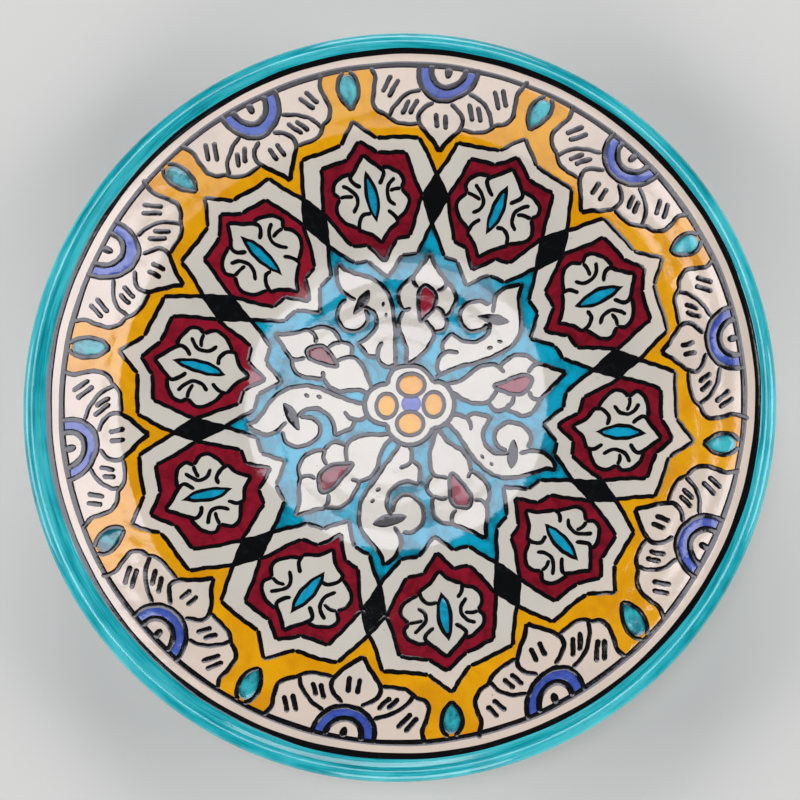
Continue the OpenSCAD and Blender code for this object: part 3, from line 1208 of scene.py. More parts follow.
@dataclass
class ThrownPlate(Maker):
    """The clay body and the glazes that it was dipped and brushed with."""

    section: Section
    hand: Hand
    finishes: Finishes
    rim_glaze_w: float = 8.0
    under_black: float = 1.0
    near_edge: float = 0.96
    glaze_run_z: float = 2.4
    glaze_run: tuple[Wave, ...] = ((0.7, 3, 1.0), (0.5, 7, 0.0), (0.35, 17, 2.0))
    glaze_ends: tuple[Point, ...] = ((0.15, 1.0), (0.4, 1.0), (0.7, 1.0), (0.94, 0.7), (1.0, 0.1))
    well_fillet: tuple[Point, ...] = ((0.6, 0.1), (0.0, 0.7))
    foot_ease: float = 0.7
    foot_in_draft: float = 0.6

    @property
    def edge_r(self) -> float:
        """Radius of the seam between cream and turquoise, hidden under the outer black band."""
        return self.section.plate_r - self.rim_glaze_w - self.under_black

    def on_face(self, centre: Point, radius: float, depth: float = 0.0) -> np.ndarray:
        """A circle on the inside face, or depth below it."""
        x, y = (CIRCLE * radius + np.array(centre)).T
        return np.column_stack([x, y, self.section.height(x, y) - depth])

    def turned(self, radius: float, height: float) -> np.ndarray:
        """A circle about the plate's axis, with the kiln's warp."""
        x, y = (CIRCLE * radius).T
        return np.column_stack([x, y, height - self.section.dip(x, y)])

    def underside(self, radius: float, depth: float) -> np.ndarray:
        """A circle under the plate, at its clay's thickness and depth more below the face."""
        s = self.section
        return self.turned(radius, float(s.thrown(np.array([radius]))[0]) - s.coat - s.wall - depth)

    def seam(self, share: float) -> tuple[Point, float]:
        """Middle and radius of a circle part of the way out to the seam."""
        off = self.hand.band_off
        return (off[0] * share**2, off[1] * share**2), self.edge_r * share

    def inside(self) -> bpy.types.Mesh:
        """Makes the cream glaze inside, from the middle to the seam.

        Returns:
            The mesh.
        """
        s, near = self.section, self.near_edge
        shares = np.concatenate([np.linspace(0, near, 96)[1:], np.linspace(near, 1, 12)[1:]])
        top = [self.on_face(*self.seam(t)) for t in shares]
        bottom = [self.on_face(*self.seam(t), depth=s.coat) for t in np.linspace(1, 0, 12)[:-1]]
        rings = [pole(s.middle_z)] + top + bottom + [pole(s.middle_z - s.coat)]
        return lathe("cream_inside", rings, closed=False)

    def lip_rings(self, inset: float, steps: int) -> list[np.ndarray]:
        """Goes over the lip, from the seam to the glaze's end under the rim.

        Args:
            inset: how far under the glazed face.
            steps: how many rings lie between the seam and the lip's round.

        Returns:
            The rings.
        """
        s, off = self.section, self.hand.band_off
        top_r = s.lip_top()[0][0]
        rings = [self.on_face((off[0] * (1 - t), off[1] * (1 - t)),
                              self.edge_r + (top_r - self.edge_r) * t, inset)
                 for t in np.linspace(0, 1, steps)[:-1]]
        rings += [self.turned(r, z) for r, z in s.lip_arc(inset)]
        last, end = rings[-1], self.underside(s.under_r, s.coat - inset)
        return rings + [last + (end - last) * t for t in (0.35, 0.7, 1.0)]

    def rim(self) -> bpy.types.Mesh:
        """The turquoise glaze over the lip."""
        rings = self.lip_rings(0, 20) + self.lip_rings(self.section.coat, 6)[::-1]
        return lathe("turquoise_rim", rings, closed=True)

    def outside(self) -> bpy.types.Mesh:
        """Makes the cream glaze outside, which runs down on to the foot in an uneven line.

        Returns:
            The mesh.
        """
        s, top = self.section, self.section.foot_top
        radii = np.linspace(s.under_r, s.foot_r + 1.5, 40)
        run = self.glaze_run_z + waves(TURN, *self.glaze_run)
        lower = [self.underside(r, s.coat) for r in radii]
        upper = [self.underside(r, 0.0) for r in radii[::5]] + [self.underside(s.foot_r, 0.0)]
        for t, thick in self.glaze_ends:
            z = top - s.coat - (top - s.coat - run) * t
            lower.append(flat_ring(s.foot_r - s.foot_draft * (1 - z / top) + s.coat * thick, z))
        inner = [flat_ring(s.foot_r - s.foot_draft * (1 - z / top), z)
                 for z in (top - (top - run) / 2, run)]
        return lathe("cream_outside", lower + (upper + inner)[::-1], closed=True)

    def well(self) -> bpy.types.Mesh:
        """Makes the cream glaze inside the foot ring, with a fillet up its wall.

        Returns:
            The mesh.
        """
        s = self.section
        r, low, high = s.foot_r - s.foot_w, s.well_z, s.well_z + s.coat
        rings = [pole(low)] + [flat_ring(r * t, low) for t in np.linspace(0, 0.97, 24)[1:]]
        rings += [flat_ring(r - inward, low - down) for inward, down in self.well_fillet]
        return lathe("cream_foot_well", rings + [flat_ring(r, high), pole(high)], closed=False)

    def clay(self) -> bpy.types.Mesh:
        """Makes the thrown clay body with its turned foot ring.

        Returns:
            The mesh.
        """
        s, top, ease = self.section, self.section.foot_top, self.foot_ease
        rings = [pole(s.middle_z - s.coat)]
        rings += [self.on_face((0, 0), s.lip_foot_r * t, s.coat) for t in np.linspace(0, 1, 60)[1:]]
        rings += [self.turned(r, z) for r, z in s.lip_arc(s.coat, 12)]
        rings += [self.underside(r, 0.0) for r in np.linspace(s.under_r, s.foot_r + 1, 30)]
        well_r, well_top = s.foot_r - s.foot_w, s.well_z + s.coat
        out_r, in_r = s.foot_r - s.foot_draft, well_r + self.foot_in_draft
        foot = [(s.foot_r, top), (s.foot_r - s.foot_draft / 2, top / 2), (out_r, ease)]
        foot += [(out_r - ease * (1 - math.cos(a)), ease * (1 - math.sin(a)))
                 for a in np.radians([30, 60, 90])]
        foot += [(in_r + ease * (1 - math.sin(a)), ease * (1 - math.cos(a)))
                 for a in np.radians([0, 30, 60, 90])]
        foot += [(well_r, s.well_z), (well_r, well_top)]
        rings += [flat_ring(r, z) for r, z in foot]
        return lathe("thrown_clay", rings + [pole(well_top)], closed=False)

    def build(self) -> None:
        """Makes the body and its glazes, and dresses them."""
        for node, mesh, material, slot in (
                ("clay_body", self.clay(), self.finishes.clay, Slot.CLAY),
                ("inside_glaze", self.inside(), self.finishes.cream, Slot.CREAM),
                ("outside_glaze", self.outside(), self.finishes.cream, Slot.CREAM),
                ("well_glaze", self.well(), self.finishes.cream, Slot.CREAM),
                ("rim_glaze", self.rim(), self.finishes.rim, Slot.RIM)):
            mesh.materials.append(material)
            self.piece(mesh, slot, node)


@dataclass
class Painter(Maker):
    """What every painted motif needs: the hand, the brush, the filler and the colours."""

    hand: Hand
    brush: Brush
    filler: Filler
    finishes: Finishes

    def colour(self, node: str, regions: Sequence[Region], material: bpy.types.Material,
               slot: Slot, lift: float = PAINT_LIFT) -> None:
        """Fills regions with a colour, as the piece that stands for a node.

        Args:
            node: the node.
            regions: the plan shapes.
            material: the colour.
            slot: its slot.
            lift: how far it stands above the glaze.
        """
        mesh = self.filler.mesh("painted_" + node, regions, lift)
        mesh.materials.append(material)
        self.piece(mesh, slot, node)

    def lines(self, name: str, strokes: Sequence[Stroke]) -> None:
        """Paints black strokes as a piece of their own."""
        self.piece(self.brush.mesh(name, strokes, self.finishes.black), Slot.BLACK)

    def stroke(self, turn: float, points: Outline | np.ndarray, width: float,
               closed: bool = False, **ends: float) -> Stroke:
        """One smooth stroke through a motif's points, laid on the plate in a direction."""
        path = points if isinstance(points, np.ndarray) else smooth(points, closed, STROKE_STEP)
        return Stroke(self.hand.lay(path, turn), width, closed, **ends)

    def region(self, turn: float, outline: np.ndarray, tone: float = 0.5) -> Region:
        """A motif's filled shape, laid on the plate in a direction."""
        return Region(self.hand.lay(outline, turn), tone=tone)

    def tone(self, k: float, seed: float = 0.0) -> float:
        """A copy's own share of colour, from 0 to 1. The seed sets each motif's copies apart."""
        return 0.5 + 0.5 * math.sin(12.9 * k + 4.1 * seed + 1)


@dataclass
class Bands(Painter):
    """The two black bands that were pulled while the plate turned under the brush."""

    outer: Point = (139.9, 142.05)
    inner: Point = (134.7, 137.1)
    waver: tuple[float, ...] = (0.14, 0.1, 0.05)
    profile: tuple[Point, ...] = ((0, 0.4), (0.12, 1), (0.35, 1), (0.65, 1), (0.88, 1), (1, 0.4),
                                  (1, -1), (0, -1))

    def edge(self, radius: float, *waver: Point) -> np.ndarray:
        """A band's edge, whose radius wavers as the brush did."""
        return radius + waves(TURN, *((size, *wave) for size, wave in zip(self.waver, waver)))

    def band(self, node: str, radii: Point, phase: float) -> None:
        """Paints one band.

        Args:
            node: the node it stands for.
            radii: its inner and outer radius.
            phase: what sets this band's waver apart.
        """
        inside = self.edge(radii[0], (5, phase), (13, 2 * phase), (41, 0))
        outside = self.edge(radii[1], (4, 3 * phase), (17, phase), (37, 0))
        rings = []
        for share, rise in self.profile:
            reach = inside * (1 - share) + outside * share
            x, y = (CIRCLE * reach[:, None] + np.array(self.hand.band_off)).T
            z = self.hand.section.height(x, y) + PAINT_LIFT * rise
            rings.append(np.column_stack([x, y, z]))
        mesh = lathe("painted_" + node, rings, closed=True, sharp=35)
        mesh.materials.append(self.finishes.black)
        self.piece(mesh, Slot.BLACK, node)

    def build(self) -> None:
        """Paints both bands."""
        self.band("outer_black_band", self.outer, phase=0.6)
        self.band("inner_black_band", self.inner, phase=2.2)


@dataclass
class Medallions(Painter):
    """Ten crossing medallions: a cream band, a red frame, and a cream rosette with a leaf."""

    tip: Point = (0, 116)
    notch: Point = (7.8, 107.2)
    shoulder: Point = (24.8, 103.6)
    lozenge_top: float = 92.6
    lozenge_waist: Point = (4.8, 83.6)
    lozenge_foot: float = 73.0
    heel: Point = (13.2, 60)
    instep: Point = (7, 60)
    foot: Point = (0, 52.6)
    frame: Outline = ((0, 107.4), (7, 101.2), (18, 99), (21, 81.6), (12, 67.2), (6, 66.6),
                      (0, 58.8))
    leaf_edge: tuple[float, ...] = (95, 75, 2.9)
    leaf_blade: tuple[float, ...] = (92.6, 76.8, 1.6)
    leaf_tilts: tuple[float, ...] = (0, 3, 8, -6, 4, -4, 7, 9, 5, -3)
    leaf_x: float = -0.2
    rosette_mid: Point = (0, 84)
    rosette_sizes: tuple[float, ...] = (1.02, 1.1, 1.07, 1.07, 1.06, 1.03, 1.08, 1.0, 1.06, 1.1)

    petal: Outline = ((0, 101.2), (4, 96.9), (6.7, 94), (6.9, 92.2), (5.4, 90.3), (3.6, 89))
    upper_lobe: Outline = ((6.8, 95), (10.4, 94.1), (13.8, 91.5), (14.7, 88.4), (12.8, 86))
    divider: Outline = ((12.8, 86), (10.3, 86.3), (7.6, 85.8))
    lower_lobe: Outline = ((12.9, 85.8), (14.8, 82.9), (14.8, 80), (12.4, 77), (8, 74.6))
    chin: Outline = ((8, 73.6), (3.3, 70.6), (0, 66.4))
    hook: Outline = ((1.8, 78.9), (4.8, 78.9), (7, 76.5), (7.6, 73))
    short_hook: Outline = ((5.2, 79.2), (7.5, 76.5), (7.9, 73.4))
    comma: Outline = ((11, 90.4), (8.2, 88.5), (6.5, 86), (6.7, 82.8), (8.9, 80.1))

    edge_w: float = 1.35
    petal_w: float = 1.35
    line_w: float = 1.3
    comma_w: float = 1.25
    divider_w: float = 1.2
    press: float = 0.3
    lift: float = 0.4

    def crossing(self, x: float, y: float) -> Point:
        """A point drawn on the line between two medallions, as the left one sees it."""
        c, s = math.cos(STEP / 2), math.sin(STEP / 2)
        return x * c + y * s, y * c - x * s

    @property
    def half(self) -> list[Point]:
        """The right half of a medallion's edge, from its tip to its foot."""
        return [self.tip, self.notch, self.shoulder, self.crossing(0, self.lozenge_top),
                self.crossing(*self.lozenge_waist), self.crossing(0, self.lozenge_foot),
                self.heel, self.instep, self.foot]

    def outline(self, k: int) -> np.ndarray:
        """Medallion k's whole edge on the plate."""
        return self.hand.lay(straight(both(self.half), True), self.hand.medallion(k))

    def sized(self, points: Outline | np.ndarray, k: int) -> np.ndarray:
        """Points of a rosette at medallion k's own size."""
        middle = np.array(self.rosette_mid)
        return middle + (np.asarray(points, float) - middle) * self.rosette_sizes[k]

    def rosette(self) -> np.ndarray:
        """The rosette's outline, which the red leaves free."""
        runs = (self.petal[:3], self.upper_lobe, self.lower_lobe, self.chin)
        return np.array(both([tuple(p) for run in runs for p in smooth(run)]))

    def corner_strokes(self, k: int, runs: Sequence[Outline], width: float) -> list[Stroke]:
        """Strokes of medallion k on both its sides, each from one corner to another."""
        return [self.stroke(self.hand.medallion(k), side(run), width, press=self.press,
                            lift=self.lift)
                for run in runs for side in (list, mirrored)]

    def edge_strokes(self, k: int) -> list[Stroke]:
        """The strokes of medallion k's edge."""
        h = self.half
        return self.corner_strokes(k, (h[0:2], h[1:3], h[2:5], h[4:7], h[6:8], h[7:9]), self.edge_w)

    def frame_strokes(self, k: int) -> list[Stroke]:
        """The strokes round medallion k's red frame."""
        return self.corner_strokes(k, list(zip(self.frame, self.frame[1:])), self.line_w)

    def rosette_strokes(self, k: int) -> list[Stroke]:
        """Draws medallion k's rosette, whose two lower hooks differ.

        Args:
            k: the medallion.

        Returns:
            The strokes.
        """
        same = ((self.petal, self.petal_w), (self.upper_lobe, self.line_w),
                (self.divider, self.divider_w), (self.lower_lobe, self.line_w),
                (self.chin, self.line_w), (self.comma, self.comma_w))
        runs = [(side(run), width) for run, width in same for side in (list, mirrored)]
        flip = (list, mirrored) if k % 3 else (mirrored, list)
        runs += [(side(run), self.line_w) for side, run in zip(flip, (self.hook, self.short_hook))]
        return [self.stroke(self.hand.medallion(k),
                            smooth(self.sized(run, k), step=STROKE_STEP), width)
                for run, width in runs]

    def leaf(self, k: int, top: float, bottom: float, half: float) -> Region:
        """A pointed blade in the middle of medallion k.

        Args:
            k: the medallion.
            top: its upper end.
            bottom: its lower end.
            half: half its width.

        Returns:
            The blade's region.
        """
        mid, tall = (top + bottom) / 2, (top - bottom) / 2
        side = [(0, tall), (half * 0.75, tall * 0.5), (half, 0), (half * 0.7, -tall * 0.55),
                (0, -tall)]
        blade = smooth(side, step=SMALL_STEP)
        blade = np.concatenate([blade, blade[-2:0:-1] * (-1, 1)])
        a = math.radians(self.leaf_tilts[k])
        spun = blade @ np.array([[math.cos(a), -math.sin(a)], [math.sin(a), math.cos(a)]])
        blade = self.sized(spun + (self.leaf_x, mid), k)
        return self.region(self.hand.medallion(k), blade, self.tone(k, 2))

    def lozenge(self, k: int) -> Region:
        """Draws the black crossing between medallions k and k + 1.

        Args:
            k: the medallion on its left.

        Returns:
            Its region.
        """
        x, y = self.lozenge_waist
        corners = [(0, self.lozenge_top), (x, y), (0, self.lozenge_foot), (-x, y)]
        return self.region(self.hand.valley(k), straight(corners, True))

    def red_frame(self, k: int) -> Region:
        """Draws the red of medallion k, which leaves its rosette free.

        Args:
            k: the medallion.

        Returns:
            Its region.
        """
        red = self.region(self.hand.medallion(k), straight(both(self.frame), True), self.tone(k))
        red.holes.append(self.hand.lay(self.sized(self.rosette(), k), self.hand.medallion(k)))
        return red

    def build(self) -> None:
        """Paints all ten."""
        ring = range(REPEATS)
        self.colour("red_frames", [self.red_frame(k) for k in ring], self.finishes.red, Slot.RED,
                    WASH_LIFT)
        self.colour("black_lozenges", [self.lozenge(k) for k in ring], self.finishes.black,
                    Slot.BLACK)
        for name, strokes in (("medallion_edges", self.edge_strokes),
                              ("frame_edges", self.frame_strokes),
                              ("rosette_lines", self.rosette_strokes)):
            self.lines(name, [s for k in ring for s in strokes(k)])
        back = self.filler.mesh("leaf_outlines", [self.leaf(k, *self.leaf_edge) for k in ring],
                                PAINT_LIFT)
        back.materials.append(self.finishes.black)
        self.piece(back, Slot.BLACK)
        self.colour("rosette_leaves", [self.leaf(k, *self.leaf_blade) for k in ring],
                    self.finishes.leaf, Slot.TURQUOISE, LEAF_LIFT)


@dataclass
class Border(Painter):
    """The half flowers on the flange, and the yellow strapwork that forks round drops."""

    medallions: Medallions
    arch_depth: float = 1.05
    arch_lines: tuple[Point, ...] = ((12.1, 1.6), (6.95, 1.9))
    arch_blue: Point = (11.6, 7.6)
    arch_past: float = 0.12
    under_band: float = 0.7
    drop_gap: Point = (1.12, 1.0)
    star_r: float = 84.0
    flower_ends: Outline = ((33.2, 134.4), (0, 140))
    fork_past: Point = (10.3, 0.9)
    tick_w: float = 2.3
    tip_w: float = 1.5
    line_w: float = 1.4
    dash_w: float = 1.6
    press: float = 0.3
    tick: Outline = ((0.2, 135.2), (0.1, 130.9))
    tip: Outline = ((0, 101.8), (3, 105.6), (6, 108.6), (8.8, 112.2), (9.3, 115.6), (7.4, 118.4),
                    (3.6, 121.2))
    second: Outline = ((9.9, 125.9), (15.4, 123.2), (19.9, 118.6), (21.8, 113.6))
    fork: Outline = ((10.6, 134.6), (11.5, 131), (10.3, 127), (9.3, 123), (9.4, 120.5), (11, 117.8),
                     (14, 115.8))
    hem: Outline = ((13.2, 116.6), (16, 112.7), (19.5, 110.8), (25.8, 109.2))
    drop: Outline = ((0, 133.6), (2.5, 132), (3.5, 128.2), (2.6, 124), (0, 120.4))
    drop_line: Outline = ((1.2, 134.8), (3.4, 132.2), (4.2, 128.2), (3.1, 123.6), (0, 119.6))
    dashes: tuple[Outline, ...] = (((-1.5, 116.8), (-1.3, 110.6)), ((2.2, 116.8), (2.5, 110.6)),
                                   ((10.6, 121.8), (13.6, 115.4)), ((14.2, 121.2), (16.8, 115.4)),
                                   ((19.6, 128.4), (23, 121.2)), ((23, 129.4), (25.8, 122.4)))

    def seen_from_valley(self, points: Outline) -> list[Point]:
        """Points drawn on the left of a medallion, as the flower on its left sees them."""
        c, s = math.cos(STEP / 2), math.sin(STEP / 2)
        return [(-x * c + y * s, y * c + x * s) for x, y in points]

    def flower(self, k: int) -> np.ndarray:
        """Draws half flower k, past the black band.

        Args:
            k: the medallion on its left.

        Returns:
            Its outline.
        """
        runs = (self.tip[:4], self.seen_from_valley(self.hem[::-1]),
                self.seen_from_valley(self.fork[::-1]))
        side = [tuple(p) for run in runs for p in smooth(run)] + list(self.flower_ends)
        return self.hand.lay(np.array(both(side)), self.hand.valley(k))

    def strapwork(self) -> Region:
        """Draws the yellow: a ring without the medallions, the flowers and the drops.

        Returns:
            Its region.
        """
        hand, ring = self.hand, range(REPEATS)
        outer = ellipse(hand.band_off, (hand.drawn_r + self.under_band,) * 2, step=1.0)
        drop = smooth(both(self.drop), True) * self.drop_gap
        holes = [self.flower(k) for k in ring]
        holes += [hand.lay(drop, hand.medallion(k)) for k in ring]
        holes += [self.medallions.outline(k) for k in ring]
        return Region(outer, holes + [ellipse(hand.star_off, (self.star_r,) * 2, step=1.5)])

    def half_ring(self, half: float, past: float = 0.0) -> np.ndarray:
        """Half an arch's ring under the inner band, a little past each end."""
        return ellipse((0, self.hand.drawn_r), (half, half * self.arch_depth),
                       start=math.pi - past, sweep=math.pi + 2 * past)

    def arch(self, k: int, half: float, width: float) -> Stroke:
        """A black half ring under the inner band."""
        return self.stroke(self.hand.valley(k), self.half_ring(half, self.arch_past), width)

    def blue(self, k: int) -> Region:
        """The blue between an arch's two black lines."""
        far, near = (self.half_ring(half) for half in self.arch_blue)
        return self.region(self.hand.valley(k), np.concatenate([far, near[::-1]]), self.tone(k, 3))

    def flower_strokes(self, k: int) -> list[Stroke]:
        """Draws the petals, dashes and tick of half flower k.

        Args:
            k: the medallion on its left.

        Returns:
            The strokes.
        """
        turn, dash = self.hand.valley(k), {"width": self.dash_w, "lift": 0.5}
        strokes = [self.stroke(turn, self.tick, self.tick_w)]
        for side in (list, mirrored):
            strokes.append(self.stroke(turn, side(self.tip), self.tip_w, press=self.press))
            strokes.append(self.stroke(turn, side(self.second), self.line_w))
            strokes += [self.stroke(turn, side(d), **dash) for d in self.dashes[2:]]
        return strokes + [self.stroke(turn, d, **dash) for d in self.dashes[:2]]

    def fork_strokes(self, k: int) -> list[Stroke]:
        """Draws what holds the yellow fork above medallion k, and its drop's outline.

        Args:
            k: the medallion.

        Returns:
            The strokes. Some of them run past the inner band.
        """
        turn, (past_x, past_step) = self.hand.medallion(k), self.fork_past
        strokes = []
        for i, side in enumerate((list, mirrored)):
            past = (past_x, self.fork[0][1] + past_step * ((2 * k + i) % 4))
            strokes.append(self.stroke(turn, side([past, *self.fork[1:]]), self.tip_w,
                                       press=self.press))
            strokes += [self.stroke(turn, side(run), self.line_w)
                        for run in (self.hem, self.drop_line)]
        return strokes

    def build(self) -> None:
        """Paints the whole border."""
        ring = range(REPEATS)
        self.colour("yellow_strapwork", [self.strapwork()], self.finishes.yellow, Slot.YELLOW,
                    WASH_LIFT)
        drop = smooth(both(self.drop), True, SMALL_STEP)
        drops = [self.region(self.hand.medallion(k), drop, self.tone(k, 1)) for k in ring]
        self.colour("fork_drops", drops, self.finishes.turquoise, Slot.TURQUOISE, DROP_LIFT)
        self.colour("blue_arches", [self.blue(k) for k in ring], self.finishes.blue, Slot.BLUE,
                    WASH_LIFT)
        self.lines("arch_lines", [self.arch(k, *line) for k in ring for line in self.arch_lines])
        self.lines("flower_lines", [s for k in ring for s in self.flower_strokes(k)])
        self.lines("fork_lines", [s for k in ring for s in self.fork_strokes(k)])


@dataclass
class Star(Painter):
    """The turquoise star, with palmettes and curled leaves left cream on it."""

    medallions: Medallions
    palmette: tuple[Outline, ...] = (
        ((-0.6, 62.2), (2, 57.9), (4.9, 54.3), (7.4, 51), (7.3, 48.8), (5.9, 46.9), (3.8, 46.2)),
        ((-0.9, 62), (-2.4, 58.6), (-4.8, 54.8), (-6.2, 52.2), (-5.7, 49.4), (-3.3, 46.9)),
        ((-6, 51.9), (-9.6, 48.9), (-11.2, 44.6), (-10.1, 39.9), (-7.9, 36.4), (-5.2, 37.8)),
        ((6.9, 50.9), (10.3, 48.3), (12.4, 44.1), (11.4, 40), (9, 36.6), (7, 38.8), (4.4, 39.8)),
        ((-7.8, 36.2), (-9.5, 32.5), (-9.1, 28.2), (-6.7, 24.2), (-4.8, 20.2), (-4.6, 13.4)),
        ((9.1, 36.8), (9.8, 34), (8.8, 31.4), (5.6, 29.8)),
        ((1, 33.7), (4.4, 31), (5.4, 28.4), (4.9, 25.6), (3, 21.9), (0, 18.3), (-4.2, 14)),
    )
    seed: Outline = ((0.2, 47.8), (2.9, 44.8), (3.4, 41), (1.7, 36.6), (-0.6, 33.4), (-1.5, 36.4),
                     (-2, 40.2), (-2.4, 44.4), (-1.3, 47.2))
    leaf: tuple[Outline, ...] = (
        ((-0.4, 64.8), (1.1, 61), (4.9, 57.1), (8.8, 53.7), (11.7, 49.9), (12.9, 45.1),
         (12.4, 40.2), (10.7, 35.4), (8.3, 30.6), (5.9, 25.8), (3.5, 21.4), (1.3, 16.1),
         (0.6, 13.2)),
        ((-0.9, 64.2), (-2.6, 62.3), (-4.3, 59), (-4.7, 55.2), (-3.3, 51.8), (-0.9, 48.4)),
        ((0.9, 16.2), (-1.4, 16.7), (-3.5, 19), (-4, 21.9), (-3.3, 24.3), (-1.5, 25.9),
         (0.4, 26.8)),
        ((-4.1, 22.8), (-7.1, 24.8), (-7.9, 28.2), (-8.4, 31.4)),
        ((-8.6, 31.2), (-3.8, 31.4), (0.1, 33), (3, 36.4), (3.5, 40.2), (2.2, 42.9), (0.4, 44.4)),
        ((0.7, 43.4), (0.2, 39.8), (-2, 36.8), (-5.4, 36), (-9.2, 37.8), (-11.2, 41.4),
         (-10.8, 45.8), (-8, 49.2), (-4.2, 50.2)),
    )
    mark: Outline = ((-4.8, 43.3), (-2.2, 46.9), (2, 49.4), (6.6, 49.5), (4.8, 46.4), (1, 44))
    dots: tuple[Point, ...] = ((8.8, 41), (7.6, 36.2))
    dot_half: Point = (0.75, 1.15)
    dot_tilt: float = -0.6
    seed_line_size: Point = (1.22, 1.05)
    seed_line_off: Point = (0.1, 2.1)
    stem_w: float = 1.45
    seed_line_w: float = 1.4

    def palmette_outline(self) -> np.ndarray:
        """Draws the palmette's outer edge.

        Returns:
            Its points, once round from its tip.
        """
        tip, tip_left, left, right, foot_left, hip, foot_right = self.palmette
        top = smooth(tip)
        clockwise = [smooth(run) for run in (right[:5], hip, foot_right[2:])]
        back = [smooth(run)[::-1] for run in (foot_left, left[:5], tip_left[:4])]
        return np.concatenate([top[:len(top) // 2]] + clockwise + back)

    def leaf_outline(self) -> np.ndarray:
        """Draws the curled leaf's outer edge.

        Returns:
            Its points, once round from its tip.
        """
        right, left, foot, lobe, curl, head = self.leaf
        parts = [right, foot[:4], lobe, curl, head[1:], left[:5][::-1]]
        return np.concatenate([smooth(p) for p in parts])

    def motif(self, k: int) -> np.ndarray:
        """Draws the motif at a place on the plate. The two kinds take turns.

        Args:
            k: the place, between medallions k and k + 1.

        Returns:
            Its outline.
        """
        palmette = Between(k % len(Between)) is Between.PALMETTE
        outline = self.palmette_outline() if palmette else self.leaf_outline()
        return self.hand.lay(outline, self.hand.valley(k))

    def ground(self, flower: np.ndarray) -> Region:
        """Draws the turquoise star without its motifs and the middle flower.

        Args:
            flower: the middle flower's outline.

        Returns:
            Its region.
        """
        m, ring = self.medallions, range(REPEATS)
        half = [m.crossing(0, m.lozenge_foot), m.heel, m.instep, m.foot]
        foot = straight(mirrored(half) + half[-2::-1])
        edge = [self.hand.lay(foot, self.hand.medallion(k))[:-1] for k in ring]
        return Region(np.concatenate(edge), [flower] + [self.motif(k) for k in ring])

    def stems(self, places: Sequence[int], paths: Sequence[Outline],
              flower: np.ndarray) -> list[Stroke]:
        """Draws a motif at each of its places.

        Args:
            places: the motif's places.
            paths: its lines.
            flower: the middle flower's outline, where they stop.

        Returns:
            The strokes.
        """
        laid = [self.hand.lay(smooth(path, step=STROKE_STEP), self.hand.valley(k))
                for k in places for path in paths]
        return [Stroke(trimmed(path, flower), self.stem_w) for path in laid]

    def build(self, flower: np.ndarray) -> None:
        """Paints the star.

        Args:
            flower: the middle flower's outline, which it leaves free.
        """
        valley = self.hand.valley
        palmettes, leaves = (range(kind.value, REPEATS, len(Between)) for kind in Between)
        self.colour("star_ground", [self.ground(flower)], self.finishes.wash, Slot.TURQUOISE,
                    WASH_LIFT)
        seed = smooth(self.seed, True, SMALL_STEP)
        seeds = [self.region(valley(k), seed, self.tone(k, 4)) for k in palmettes]
        self.colour("palmette_seeds", seeds, self.finishes.red, Slot.RED)
        mark = smooth(self.mark, True, SMALL_STEP)
        marks = [self.region(valley(k), mark) for k in leaves]
        marks += [self.region(valley(k), ellipse(dot, self.dot_half, self.dot_tilt))
                  for k in leaves for dot in self.dots]
        self.colour("leaf_marks", marks, self.finishes.black, Slot.BLACK)
        lines = self.stems(palmettes, self.palmette, flower)
        around = seed * self.seed_line_size - self.seed_line_off
        lines += [self.stroke(valley(k), around, self.seed_line_w, True) for k in palmettes]
        self.lines("palmette_lines", lines)
        self.lines("curled_leaf_lines", self.stems(leaves, self.leaf, flower))


@dataclass
class MiddleFlower(Painter):
    """The four-lobed flower in the middle, with four yellow dots round a blue eye."""

    lobes: tuple[Outline, ...] = (
        ((-9.6, 8.4), (-9.4, 11.2), (-6.9, 15), (-1.4, 16.3), (3.3, 15.7), (7, 12.7), (9.1, 9)),
        ((8.8, 9.1), (11.8, 9.3), (14.9, 7.4), (17.2, 3.2), (17.6, -0.6), (16.8, -4.2),
         (14.5, -7.5), (11.2, -9.5), (8.6, -9.6)),
        ((8.8, -9.4), (7.8, -11.8), (5.4, -14.5), (1.5, -16.5), (-2.9, -16.5), (-7, -14.2),
         (-9.4, -11.2), (-9.8, -8)),
        ((-9.6, -8.3), (-13.8, -7.5), (-17, -5.6), (-18.9, -2.4), (-19.1, 1.8), (-17.6, 5.3),
         (-14.6, 7.7), (-12, 8.7), (-9.4, 8.6)),
    )
    dots: tuple[tuple[Point, Point], ...] = (((-0.1, 8.2), (5.1, 4.3)), ((9.2, 0), (3.8, 4.7)),
                                             ((-0.5, -7.8), (5, 4.4)), ((-10.2, -0.3), (3.8, 4.5)))
    eye: tuple[Point, Point] = ((-0.1, 0.4), (4.1, 3.9))
    lobe_w: float = 1.6
    ring_w: float = 1.3
    ring_gap: float = 0.5

    def place(self, points: np.ndarray) -> np.ndarray:
        """Puts the flower's points at its place on the plate."""
        return points + np.array(self.hand.flower_off)

    def outline(self) -> np.ndarray:
        """The flower's whole edge."""
        return self.place(np.concatenate([smooth(lobe) for lobe in self.lobes]))

    def oval(self, centre: Point, half: Point, tone: float = 0.5) -> Region:
        """A filled oval of the flower."""
        return Region(self.place(ellipse(centre, half, step=SMALL_STEP)), tone=tone)

    def build(self) -> None:
        """Paints the flower."""
        dots = [self.oval(*dot, self.tone(i, 5)) for i, dot in enumerate(self.dots)]
        self.colour("centre_dots", dots, self.finishes.yellow, Slot.YELLOW)
        self.colour("centre_eye", [self.oval(*self.eye)], self.finishes.blue, Slot.BLUE)
        lines = [Stroke(self.place(smooth(lobe)), self.lobe_w) for lobe in self.lobes]
        for centre, (wide, tall) in self.dots:
            ring = self.oval(centre, (wide + self.ring_gap, tall + self.ring_gap)).outer
            lines.append(Stroke(ring, self.ring_w, closed=True))
        self.lines("middle_flower_lines", lines)


# ---------------------------------------------------------------- studio


